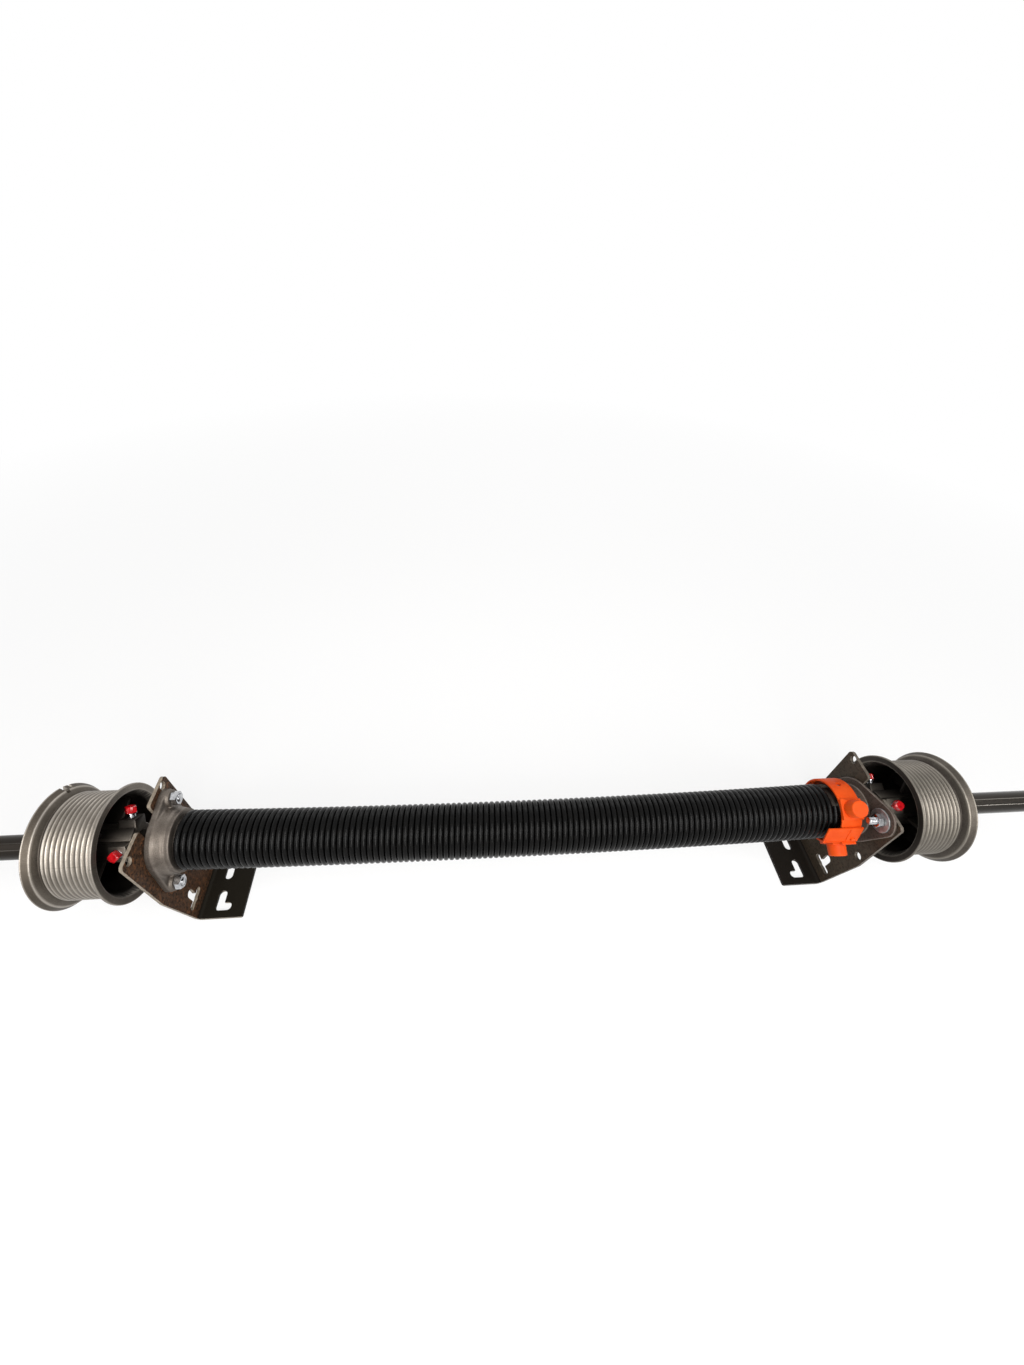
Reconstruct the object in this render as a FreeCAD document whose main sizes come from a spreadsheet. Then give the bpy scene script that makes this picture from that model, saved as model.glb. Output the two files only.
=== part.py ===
import FreeCAD, Part
import math
import os
import re
import Sketcher
from FreeCAD import Placement, Rotation, Vector

# Torsion spring counterbalance for a ramp door, in millimetres.
# X runs along the shaft, Y points to the wall side, Z points up from the bracket feet.

doc = FreeCAD.newDocument("ramp_door_spring")

sizes = {
    # shaft and keys
    "axis_height": 127.0,
    "shaft_diameter": 25.4,
    "shaft_overhang": 243.0,
    "shaft_chamfer": 1.2,
    "key_width": 6.35,
    "keyway_depth": 3.2,
    "key_angle": 25.0,
    "fit_gap": 0.05,
    "running_gap": 0.3,
    # spring
    "wire_diameter": 5.94,
    "coil_bore": 50.8,
    "coil_gap": 0.29,
    "winding_room": 39.6,
    # brackets
    "bracket_span": 784.0,
    "plate_thickness": 3.5,
    "bend_radius": 4.0,
    "plate_width": 105.0,
    "plate_rise": 47.0,
    "shoulder_drop": 42.0,
    "foot_width": 80.0,
    "foot_depth": 53.5,
    "corner_radius": 2.5,
    "prong_radius": 5.0,
    "shoulder_radius": 12.0,
    "notch_width": 27.0,
    "tip_hole_reach": 42.0,
    "low_hole_reach": 44.0,
    "low_hole_drop": 33.0,
    "spare_hole_diameter": 9.5,
    "plate_slot_drop": 101.0,
    "plate_slot_near": 14.0,
    "plate_slot_far": 34.0,
    "plate_slot_width": 7.4,
    "plate_slot_rise": 15.0,
    "plate_slot_throat": 10.0,
    "foot_slot_reach": 20.0,
    "foot_slot_near": 12.0,
    "foot_slot_far": 26.5,
    "foot_slot_width": 9.4,
    "foot_slot_run": 9.0,
    # bolts, nuts and washers
    "bolt_reach": 45.5,
    "bolt_angle": 45.0,
    "bolt_diameter": 7.94,
    "bolt_hole_diameter": 8.7,
    "hex_width": 13.5,
    "bolt_head_height": 5.4,
    "cone_nut_height": 6.7,
    "flange_nut_height": 5.2,
    "cone_stud_rest": 1.6,
    "flange_stud_rest": 8.5,
    "washer_diameter": 27.0,
    "washer_thickness": 2.0,
    # stationary cone
    "cone_flange_radius": 37.5,
    "cone_flange_thickness": 6.5,
    "lug_radius": 10.0,
    "lug_boss_radius": 9.2,
    "lug_boss_height": 10.0,
    "cone_hub_radius": 33.5,
    "cone_hub_length": 21.5,
    "cone_ring_width": 5.0,
    "cone_ring_groove": 1.2,
    "gusset_width": 8.0,
    "gusset_height": 8.6,
    "spigot_length": 52.0,
    "spigot_taper": 0.8,
    "cone_bore": 27.0,
    # ball bearings
    "bearing_diameter": 52.0,
    "bearing_width": 11.0,
    "outer_race_wall": 2.6,
    "inner_race_wall": 3.0,
    "ball_diameter": 7.4,
    "ball_count": 9,
    # bearing flange
    "flange_plate_thickness": 3.0,
    "flange_plate_radius": 38.0,
    "flange_lug_radius": 18.5,
    "dome_wall": 3.0,
    "dome_mouth_radius": 17.0,
    "dome_corner_radius": 3.0,
    # winding cone
    "cone_angle": 28.0,
    "head_length": 22.0,
    "head_hub_radius": 26.0,
    "socket_station": 9.2,
    "socket_boss_radius": 9.0,
    "socket_boss_reach": 30.8,
    "socket_radius": 6.4,
    "socket_floor": 18.0,
    "socket_count": 4,
    "plug_gap": 0.15,
    "head_screw_station": 14.0,
    # cover over the winding cone
    "cover_start": -2.5,
    "cover_width": 24.0,
    "cover_bore_radius": 34.9,
    "cover_wall": 2.3,
    "cover_pad_width": 23.0,
    "cover_pad_reach": 38.6,
    "knob_radius": 9.5,
    "knob_reach": 52.0,
    "knob_count": 2,
    "tag_width": 22.0,
    "tag_length": 41.5,
    "tag_overhang": 17.0,
    "tag_thickness": 2.0,
    "tag_angle": 47.0,
    "clasp_angle": 64.0,
    "clasp_reach": 43.0,
    "clasp_thickness": 2.6,
    "peg_radius": 2.5,
    "peg_reach": 41.5,
    "vent_radius": 2.8,
    "vent_angle": -50.0,
    # cable drums
    "drum_gap": 32.0,
    "drum_width": 62.0,
    "left_drum_angle": -38.0,
    "hub_radius": 20.0,
    "hub_overhang": 10.0,
    "web_thickness": 6.0,
    "web_recess": 2.0,
    "hub_pad_width": 14.0,
    "hub_pad_height": 1.8,
    "barrel_radius": 55.3,
    "barrel_wall": 4.5,
    "rim_height": 7.2,
    "rim_width": 2.4,
    "mouth_flare": 4.2,
    "mouth_depth": 7.0,
    "barrel_start": 4.3,
    "groove_pitch": 4.62,
    "groove_depth": 1.7,
    "groove_count": 10,
    "channel_depth": 0.6,
    "flange_height": 9.5,
    "flange_lip_drop": 3.8,
    "flange_rim_width": 6.4,
    "flange_slope_width": 2.6,
    "rib_count": 4,
    "rib_thickness": 4.0,
    "rib_length": 34.0,
    "cable_slot_width": 5.0,
    "cable_slot_depth": 6.5,
    "slot_notch_width": 3.2,
    "slot_notch_depth": 3.6,
    "slot_notch_turn": 8.0,
    "left_slot_angle": -2.0,
    "right_slot_angle": 170.0,
    # set screws
    "screw_boss_width": 17.0,
    "screw_boss_reach": 28.5,
    "screw_diameter": 7.9,
    "screw_hole_diameter": 8.1,
    "screw_head_width": 9.0,
    "screw_head_height": 7.0,
    "screw_point_length": 3.2,
    "screw_point_radius": 2.4,
    "front_screw_lift": 0.6,
    "top_screw_lift": 5.0,
}

sheet = doc.addObject("Spreadsheet::Sheet", "Sizes")
for row, (alias, size) in enumerate(sizes.items(), 1):
    sheet.set("A%d" % row, alias)
    sheet.set("B%d" % row, str(size))
    sheet.setAlias("B%d" % row, alias)
doc.recompute()


# Formulas are written with the names above

def formula(text):
    return re.sub(r"[a-z_]+", lambda m: "Sizes." + m.group() if m.group() in sizes else m.group(), str(text))


def value(text):
    return float(sheet.evalExpression(formula(text)))


def bind(feature, **links):
    for name, text in links.items():
        feature.setExpression(name.replace("__", "."), formula(text))


# Sketching

def sketch_on(body, role, offset="0"):
    plane = next(item for item in body.Origin.OriginFeatures if item.Role == role)
    sketch = body.newObject("Sketcher::SketchObject", body.Name + "_sketch")
    sketch.AttachmentSupport = [(plane, "")]
    sketch.MapMode = "FlatFace"
    bind(sketch, AttachmentOffset__Base__z=offset)
    return sketch


def constrain(sketch, kind, *where, size=None):
    if size is None:
        sketch.addConstraint(Sketcher.Constraint(kind, *where))
        return
    index = sketch.addConstraint(Sketcher.Constraint(kind, *where, value(size)))
    sketch.setExpression("Constraints[%d]" % index, formula(size))


def place_point(sketch, geometry, end, x, y):
    constrain(sketch, "DistanceX", -1, 1, geometry, end, size=x)
    constrain(sketch, "DistanceY", -1, 1, geometry, end, size=y)


def outline(sketch, corners):
    """Closed outline through corners (x, y) or, rounded, (x, y, radius)."""
    count = len(corners)
    points = [Vector(value(corner[0]), value(corner[1]), 0) for corner in corners]
    radii = [value(corner[2]) if len(corner) > 2 else 0 for corner in corners]
    trims = []
    for i in range(count):
        back = (points[i - 1] - points[i]).normalize()
        ahead = (points[(i + 1) % count] - points[i]).normalize()
        trims.append(radii[i] / math.tan(back.getAngle(ahead) / 2) if radii[i] else 0)
    lines = []
    for i in range(count):
        j = (i + 1) % count
        along = (points[j] - points[i]).normalize()
        segment = Part.LineSegment(points[i] + along * trims[i], points[j] - along * trims[j])
        lines.append(sketch.addGeometry(segment))
    for i, corner in enumerate(corners):
        before, after = lines[i - 1], lines[i]
        if not radii[i]:
            constrain(sketch, "Coincident", before, 2, after, 1)
            place_point(sketch, after, 1, corner[0], corner[1])
            continue
        back = (points[i - 1] - points[i]).normalize()
        ahead = (points[(i + 1) % count] - points[i]).normalize()
        inward = (back + ahead).normalize()
        centre = points[i] + inward * math.hypot(radii[i], trims[i])
        middle = centre - inward * radii[i]
        arc = Part.Arc(points[i] + back * trims[i], middle, points[i] + ahead * trims[i])
        bend = sketch.addGeometry(arc)
        left_turn = back.cross(ahead).z < 0
        constrain(sketch, "Tangent", before, 2, bend, 1 if left_turn else 2)
        constrain(sketch, "Tangent", after, 1, bend, 2 if left_turn else 1)
        constrain(sketch, "Radius", bend, size=corner[2])
        tip = sketch.addGeometry(Part.Point(points[i]), True)
        constrain(sketch, "PointOnObject", tip, 1, before)
        constrain(sketch, "PointOnObject", tip, 1, after)
        place_point(sketch, tip, 1, corner[0], corner[1])


def hull(sketch, discs):
    """Tight band round discs (x, y, radius), listed counterclockwise."""
    count = len(discs)
    centres = [Vector(value(disc[0]), value(disc[1]), 0) for disc in discs]
    radii = [value(disc[2]) for disc in discs]
    normals = []
    for i in range(count):
        j = (i + 1) % count
        run = centres[j] - centres[i]
        lean = math.asin((radii[i] - radii[j]) / run.Length)
        normals.append(math.atan2(run.y, run.x) - math.pi / 2 + lean)
    arcs = []
    for i, disc in enumerate(discs):
        start, stop = normals[i - 1], normals[i]
        circle = Part.Circle(centres[i], Vector(0, 0, 1), radii[i])
        arcs.append(sketch.addGeometry(Part.ArcOfCircle(circle, start, stop)))
        constrain(sketch, "Radius", arcs[i], size=disc[2])
        place_point(sketch, arcs[i], 3, disc[0], disc[1])
    for i in range(count):
        j = (i + 1) % count
        out = Vector(math.cos(normals[i]), math.sin(normals[i]), 0)
        line = sketch.addGeometry(Part.LineSegment(centres[i] + out * radii[i], centres[j] + out * radii[j]))
        constrain(sketch, "Tangent", arcs[i], 2, line, 1)
        constrain(sketch, "Tangent", line, 2, arcs[j], 1)


def circle(sketch, x, y, radius):
    disc = Part.Circle(Vector(value(x), value(y), 0), Vector(0, 0, 1), value(radius))
    index = sketch.addGeometry(disc)
    constrain(sketch, "Radius", index, size=radius)
    place_point(sketch, index, 3, x, y)


def hexagon(sketch, x, y, across):
    corners = []
    for k in range(6):
        corner_x = "%s + %s / 2 / cos(30) * sin(%d)" % (x, across, 60 * k)
        corner_y = "%s + %s / 2 / cos(30) * cos(%d)" % (y, across, 60 * k)
        corners.append((corner_x, corner_y))
    outline(sketch, corners)


# Solid features

def new_body(label):
    body = doc.addObject("PartDesign::Body", label)
    body.Label = label
    body.AllowCompound = True
    return body


def feature(body, kind, **links):
    item = body.newObject("PartDesign::" + kind, body.Name + "_" + kind)
    bind(item, **links)
    return item


def pad(body, sketch, length, both_ways=False):
    item = feature(body, "Pad", Length=length)
    item.Profile = sketch
    item.SideType = "Symmetric" if both_ways else "One side"
    return item


def cut_through(body, sketch):
    item = feature(body, "Pocket")
    item.Profile = sketch
    item.Type = "ThroughAll"
    item.SideType = "Symmetric"
    return item


def spin(body, sketch, kind="Revolution"):
    item = feature(body, kind)
    item.Profile = sketch
    item.ReferenceAxis = (sketch, ["H_Axis"])
    item.Angle = 360
    return item


def spin_profile(body, corners, kind="Revolution"):
    sketch = sketch_on(body, "XZ_Plane")
    outline(sketch, corners)
    return spin(body, sketch, kind)


def repeat_round(body, originals, count, angle=360, reverse=False):
    item = body.newObject("PartDesign::PolarPattern", body.Name + "_round")
    item.Originals = originals
    item.Axis = (next(axis for axis in body.Origin.OriginFeatures if axis.Role == "X_Axis"), [""])
    bind(item, Angle=angle, Occurrences=count)
    item.Reversed = reverse
    body.Tip = item
    return item


def turn_about_shaft(angle, y, z):
    """Point at radius z and offset y, turned about the shaft from straight up towards the front."""
    across = "(%s) * cos(%s) - (%s) * sin(%s)" % (y, angle, z, angle)
    up = "(%s) * sin(%s) + (%s) * cos(%s)" % (y, angle, z, angle)
    return across, up


def radial_block(body, kind, x, length, width, inner, outer, angle="0"):
    """Block standing on the shaft axis: x to x + length, width across, inner to outer radius."""
    block = feature(body, kind + "Box", Length=length, Width=width, Height="%s - (%s)" % (outer, inner))
    block.Placement = Placement(Vector(), Rotation(Vector(1, 0, 0), value(angle)))
    across, up = turn_about_shaft(angle, "-(%s) / 2" % width, inner)
    bind(block, Placement__Base__x=x, Placement__Base__y=across, Placement__Base__z=up)
    return block


def radial_rod(body, kind, x, radius, inner, outer, angle="0", form="Cylinder"):
    """Rod standing on the shaft axis at x, from the inner to the outer radius."""
    rod = feature(body, kind + form, Height="%s - (%s)" % (outer, inner))
    width = {"Cylinder": "Radius", "Prism": "Circumradius", "Cone": "Radius2"}[form]
    bind(rod, **{width: radius})
    rod.Placement = Placement(Vector(), Rotation(Vector(1, 0, 0), value(angle)))
    across, up = turn_about_shaft(angle, "0", inner)
    bind(rod, Placement__Base__x=x, Placement__Base__y=across, Placement__Base__z=up)
    return rod


def set_on_shaft(body, station, angle="0", turned=False):
    """Moves a body to its station along the shaft, turned end for end where it faces left."""
    turn = Rotation(Vector(1, 0, 0), value(angle))
    if turned:
        turn = turn.multiply(Rotation(Vector(0, 0, 1), 180))
    body.Placement = Placement(Vector(), turn)
    bind(body, Placement__Base__x=station, Placement__Base__z="axis_height")
    return body


shaft_radius = "shaft_diameter / 2"
shaft_length = "(bracket_span + 2 * shaft_overhang)"
left_face = "-bracket_span / 2"
right_face = "bracket_span / 2"
spring_start = "-bracket_span / 2 + cone_hub_length"
pitch = "(wire_diameter + coil_gap)"
coil_turns = "floor((bracket_span - cone_hub_length - winding_room) / %s)" % pitch
spring_end = "%s + %s * %s" % (spring_start, coil_turns, pitch)
cone_station = "%s + running_gap" % spring_end
left_rim = "-bracket_span / 2 - drum_gap"
right_rim = "bracket_span / 2 + drum_gap"
spigot_radius = "coil_bore / 2 - running_gap"
bearing_start = "fit_gap"
key_top = "shaft_diameter / 2 - keyway_depth + key_width"
key_floor = "shaft_diameter / 2 - keyway_depth"
barrel_bore = "(barrel_radius - barrel_wall)"
flange_radius = "(barrel_radius + flange_height)"


# Shaft and keys

def make_shaft():
    body = new_body("shaft")
    end = shaft_length + " / 2"
    rim = "shaft_diameter / 2 - shaft_chamfer"
    spin_profile(body, [
        ("-" + end, "0"),
        (end, "0"),
        (end, rim),
        (end + " - shaft_chamfer", shaft_radius),
        ("-" + end + " + shaft_chamfer", shaft_radius),
        ("-" + end, rim),
    ])
    radial_block(body, "Subtractive", "-%s / 2 - 1" % shaft_length, shaft_length + " + 2", "key_width",
                 key_floor, key_top)
    return set_on_shaft(body, "0", "key_angle")


def make_key(label, station, length):
    body = new_body(label)
    side = "key_width - 2 * fit_gap"
    radial_block(body, "Additive", "0", length, side, key_floor, key_top + " - fit_gap")
    return set_on_shaft(body, station, "key_angle")


def cut_keyway(body, start, length, angle):
    radial_block(body, "Subtractive", start, length, "key_width", "0", key_top, angle)


# Spring: one ridge for each turn of wire

def make_spring():
    wire = value("wire_diameter")
    step = value(pitch)
    bore = value("coil_bore") / 2
    turns = int(value(coil_turns))
    profile = [Vector(0, 0, bore), Vector(0, 0, bore + wire / 2)]
    for turn in range(turns):
        profile.append(Vector((turn + 0.5) * step, 0, bore + wire))
        profile.append(Vector((turn + 1) * step, 0, bore + wire / 2))
    profile.append(Vector(turns * step, 0, bore))
    profile.append(profile[0])
    coil = doc.addObject("Part::Feature", "torsion_spring")
    coil.Shape = Part.Face(Part.makePolygon(profile)).revolve(Vector(), Vector(1, 0, 0), 360)
    coil.Placement = Placement(Vector(value(spring_start), 0, value("axis_height")), Rotation())
    return coil


# Brackets: folded plate with an open notch for the shaft, seen from the spring side

def bracket_slots(body):
    slot = "plate_slot_width / 2"
    drop = "-plate_slot_drop"
    throat = "(plate_slot_near + plate_slot_far) / 2"
    for side in ("", "-"):
        sketch = sketch_on(body, "YZ_Plane")
        ends = [(side + "plate_slot_near", drop, slot), (side + "plate_slot_far", drop, slot)]
        hull(sketch, ends)
        cut_through(body, sketch)
        sketch = sketch_on(body, "YZ_Plane")
        stem = side + throat
        hull(sketch, [
            (stem, drop, "plate_slot_throat / 2 - 0.5"),
            (stem, drop + " + plate_slot_rise", "plate_slot_throat / 2"),
        ])
        cut_through(body, sketch)
    half = "foot_slot_width / 2"
    for side in ("", "-"):
        corner = ("foot_slot_reach", side + "foot_slot_far", half)
        sketch = sketch_on(body, "XY_Plane")
        hull(sketch, [corner, ("foot_slot_reach", side + "foot_slot_near", half)])
        cut_through(body, sketch)
        sketch = sketch_on(body, "XY_Plane")
        hull(sketch, [corner, ("foot_slot_reach + foot_slot_run", side + "foot_slot_far", half)])
        cut_through(body, sketch)


def make_bracket(label, station, turned):
    body = new_body(label)
    base = "-axis_height"
    outer = "-plate_thickness"
    sketch = sketch_on(body, "XZ_Plane")
    outline(sketch, [
        (outer, base, "bend_radius + plate_thickness"),
        ("foot_depth - plate_thickness", base),
        ("foot_depth - plate_thickness", base + " + plate_thickness"),
        ("0", base + " + plate_thickness", "bend_radius"),
        ("0", "plate_rise"),
        (outer, "plate_rise"),
    ])
    pad(body, sketch, "plate_width", both_ways=True)
    # plate outline: square prongs, shoulders, then a taper to the foot
    sketch = sketch_on(body, "YZ_Plane")
    margin = "plate_width"
    outline(sketch, [
        ("-" + margin, "-axis_height - " + margin),
        (margin, "-axis_height - " + margin),
        (margin, margin),
        ("-" + margin, margin),
    ])
    outline(sketch, [
        ("-foot_width / 2", base + " - 1"),
        ("foot_width / 2", base + " - 1"),
        ("foot_width / 2", base + " + plate_thickness"),
        ("plate_width / 2", "-shoulder_drop", "shoulder_radius"),
        ("plate_width / 2", "plate_rise", "prong_radius"),
        ("-plate_width / 2", "plate_rise", "prong_radius"),
        ("-plate_width / 2", "-shoulder_drop", "shoulder_radius"),
        ("-foot_width / 2", base + " + plate_thickness"),
    ])
    cut_through(body, sketch)
    # rounded outer corners of the foot
    sketch = sketch_on(body, "XY_Plane")
    tip = "foot_depth - plate_thickness"
    outline(sketch, [
        ("-foot_depth", "-foot_width"),
        ("2 * foot_depth", "-foot_width"),
        ("2 * foot_depth", "foot_width"),
        ("-foot_depth", "foot_width"),
    ])
    outline(sketch, [
        ("-foot_depth / 2", "-plate_width / 2 - 1"),
        ("bend_radius", "-plate_width / 2 - 1"),
        ("bend_radius", "-foot_width / 2"),
        (tip, "-foot_width / 2", "corner_radius"),
        (tip, "foot_width / 2", "corner_radius"),
        ("bend_radius", "foot_width / 2"),
        ("bend_radius", "plate_width / 2 + 1"),
        ("-foot_depth / 2", "plate_width / 2 + 1"),
    ])
    cut_through(body, sketch)
    sketch = sketch_on(body, "YZ_Plane")
    hull(sketch, [("0", "0", "notch_width / 2"), ("0", "plate_rise + notch_width", "notch_width / 2")])
    cut_through(body, sketch)
    sketch = sketch_on(body, "YZ_Plane")
    circle(sketch, "low_hole_reach", "-low_hole_drop", "spare_hole_diameter / 2")
    for side in ("", "-"):
        circle(sketch, side + "tip_hole_reach", "tip_hole_reach", "spare_hole_diameter / 2")
        circle(sketch, side + "bolt_reach * sin(bolt_angle)", side + "bolt_reach * cos(bolt_angle)",
               "bolt_hole_diameter / 2")
    cut_through(body, sketch)
    bracket_slots(body)
    return set_on_shaft(body, station, "0", turned)


# Cast cone that anchors the left end of the spring

def bolted_plate(body, centre_radius, lug_radius, thickness):
    sketch = sketch_on(body, "YZ_Plane")
    hull(sketch, [
        ("0", "-bolt_reach", lug_radius),
        ("0", "0", centre_radius),
        ("0", "bolt_reach", lug_radius),
        ("0", "0", centre_radius),
    ])
    pad(body, sketch, thickness)


def drill_bolt_holes(body):
    sketch = sketch_on(body, "YZ_Plane")
    circle(sketch, "0", "bolt_reach", "bolt_hole_diameter / 2")
    circle(sketch, "0", "-bolt_reach", "bolt_hole_diameter / 2")
    cut_through(body, sketch)


def make_stationary_cone():
    body = new_body("stationary_cone")
    bolted_plate(body, "cone_flange_radius", "lug_radius", "cone_flange_thickness")
    sketch = sketch_on(body, "YZ_Plane")
    circle(sketch, "0", "bolt_reach", "lug_boss_radius")
    circle(sketch, "0", "-bolt_reach", "lug_boss_radius")
    pad(body, sketch, "lug_boss_height")
    tip = "cone_hub_length + spigot_length"
    ring = "cone_hub_length - cone_ring_width"
    spin_profile(body, [
        ("0", "0"),
        (tip, "0"),
        (tip, spigot_radius + " - spigot_taper"),
        ("cone_hub_length", spigot_radius),
        ("cone_hub_length", "cone_hub_radius"),
        (ring, "cone_hub_radius"),
        (ring, "cone_hub_radius - cone_ring_groove"),
        (ring + " - cone_ring_groove", "cone_hub_radius - cone_ring_groove"),
        (ring + " - cone_ring_groove", "cone_hub_radius + cone_ring_groove"),
        ("cone_flange_thickness", "cone_flange_radius - 1"),
        ("0", "cone_flange_radius - 1"),
    ])
    # gussets that carry the bolt bosses
    gusset = radial_block(body, "Additive", "0", "gusset_height", "gusset_width", "cone_hub_radius - 2",
                          "bolt_reach - lug_boss_radius + 1")
    repeat_round(body, [gusset], "2")
    pocket = "bearing_width + 2 * fit_gap"
    spin_profile(body, [
        ("-1", "0"),
        (tip + " + 1", "0"),
        (tip + " + 1", "cone_bore / 2"),
        (pocket, "cone_bore / 2"),
        (pocket, "bearing_diameter / 2 + fit_gap"),
        ("-1", "bearing_diameter / 2 + fit_gap"),
    ], "Groove")
    drill_bolt_holes(body)
    return set_on_shaft(body, left_face, "-bolt_angle")


# Ball bearings

def make_bearing(prefix, station, turned):
    inner = "shaft_diameter / 2 + fit_gap"
    bore_side = inner + " + inner_race_wall"
    cup_side = "bearing_diameter / 2 - outer_race_wall"
    rings = (
        ("_outer_race", cup_side, "bearing_diameter / 2"),
        ("_inner_race", inner, bore_side),
    )
    for name, low, high in rings:
        body = new_body(prefix + name)
        spin_profile(body, [
            (bearing_start, low),
            (bearing_start + " + bearing_width", low),
            (bearing_start + " + bearing_width", high),
            (bearing_start, high),
        ])
        set_on_shaft(body, station, "0", turned)
    balls = new_body(prefix + "_balls")
    # each ball is an eight-sided section turned about its own middle, which keeps its faces few
    sketch = sketch_on(balls, "XZ_Plane")
    bind(sketch, AttachmentOffset__Base__x=bearing_start + " + bearing_width / 2",
         AttachmentOffset__Base__y="(%s + %s) / 2" % (bore_side, cup_side))
    long_side = "ball_diameter / 2 * cos(22.5)"
    short_side = "ball_diameter / 2 * sin(22.5)"
    outline(sketch, [
        ("-" + long_side, "0"),
        (long_side, "0"),
        (long_side, short_side),
        (short_side, long_side),
        ("-" + short_side, long_side),
        ("-" + long_side, short_side),
    ])
    repeat_round(balls, [spin(balls, sketch)], "ball_count")
    set_on_shaft(balls, station, "0", turned)


# Pressed flange that holds the right bearing

def make_bearing_flange():
    body = new_body("bearing_flange")
    bolted_plate(body, "flange_plate_radius", "flange_lug_radius", "flange_plate_thickness")
    roof = "bearing_width + 2 * fit_gap"
    crown = roof + " + dome_wall"
    wall = "bearing_diameter / 2 + fit_gap"
    spin_profile(body, [
        ("0", "0"),
        (crown, "0"),
        (crown, wall + " + dome_wall", "dome_corner_radius"),
        ("0", wall + " + dome_wall"),
    ])
    spin_profile(body, [
        ("-1", "0"),
        (crown + " + 1", "0"),
        (crown + " + 1", "dome_mouth_radius"),
        (roof, "dome_mouth_radius"),
        (roof, wall),
        ("-1", wall),
    ], "Groove")
    drill_bolt_holes(body)
    return set_on_shaft(body, right_face, "bolt_angle", turned=True)


# Bolts, washers and nuts, two of each, opposite one another

def make_bolts(label, grip, station, angle, turned):
    body = new_body(label)
    sketch = sketch_on(body, "YZ_Plane", "-plate_thickness - bolt_head_height")
    hexagon(sketch, "0", "bolt_reach", "hex_width")
    head = pad(body, sketch, "bolt_head_height")
    sketch = sketch_on(body, "YZ_Plane", "-plate_thickness")
    circle(sketch, "0", "bolt_reach", "bolt_diameter / 2")
    shank = pad(body, sketch, "plate_thickness + " + grip)
    repeat_round(body, [head, shank], "2")
    return set_on_shaft(body, station, angle, turned)


def make_nuts(label, stack, height, station, angle, turned):
    body = new_body(label)
    sketch = sketch_on(body, "YZ_Plane", stack)
    hexagon(sketch, "0", "bolt_reach", "hex_width")
    circle(sketch, "0", "bolt_reach", "bolt_diameter / 2 + fit_gap")
    repeat_round(body, [pad(body, sketch, height)], "2")
    return set_on_shaft(body, station, angle, turned)


def make_washers():
    body = new_body("flange_washers")
    sketch = sketch_on(body, "YZ_Plane", "flange_plate_thickness")
    circle(sketch, "0", "bolt_reach", "washer_diameter / 2")
    circle(sketch, "0", "bolt_reach", "bolt_diameter / 2 + fit_gap")
    repeat_round(body, [pad(body, sketch, "washer_thickness")], "2")
    return set_on_shaft(body, right_face, "bolt_angle", turned=True)


# Cast cone that winds the right end of the spring

def make_winding_cone():
    body = new_body("winding_cone")
    bore = "shaft_diameter / 2 + fit_gap"
    spin_profile(body, [
        ("-spigot_length", bore),
        ("head_length", bore),
        ("head_length", "head_hub_radius"),
        ("0", "head_hub_radius"),
        ("0", spigot_radius),
        ("-spigot_length", spigot_radius + " - spigot_taper"),
    ])
    boss = radial_rod(body, "Additive", "socket_station", "socket_boss_radius", "socket_floor",
                      "socket_boss_reach")
    repeat_round(body, [boss], "socket_count")
    socket = radial_rod(body, "Subtractive", "socket_station", "socket_radius", "socket_floor",
                        "socket_boss_reach + 1")
    repeat_round(body, [socket], "socket_count")
    for angle in ("45", "-45"):
        radial_rod(body, "Subtractive", "head_screw_station", "screw_hole_diameter / 2", "0",
                   "head_hub_radius + 1", angle)
    cut_keyway(body, "-spigot_length - 1", "spigot_length + head_length + 2", "key_angle - cone_angle")
    return set_on_shaft(body, cone_station, "cone_angle")


def add_set_screw(body, station, foot, seat, angle):
    """Pointed screw with a square head that stands on its corner."""
    point = radial_rod(body, "Additive", station, "screw_diameter / 2", foot, foot + " + screw_point_length",
                       angle, "Cone")
    bind(point, Radius1="screw_point_radius", Radius2="screw_diameter / 2")
    radial_rod(body, "Additive", station, "screw_diameter / 2", foot + " + screw_point_length", seat, angle)
    head = radial_rod(body, "Additive", station, "screw_head_width / sqrt(2)", seat,
                      seat + " + screw_head_height", angle, "Prism")
    head.Polygon = 4


def make_winding_cone_screws():
    body = new_body("winding_cone_set_screws")
    for angle in ("45", "-45"):
        add_set_screw(body, "head_screw_station", shaft_radius, "head_hub_radius", angle)
    return set_on_shaft(body, cone_station, "cone_angle")


# Moulded cover with a cap over each winding socket

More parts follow.
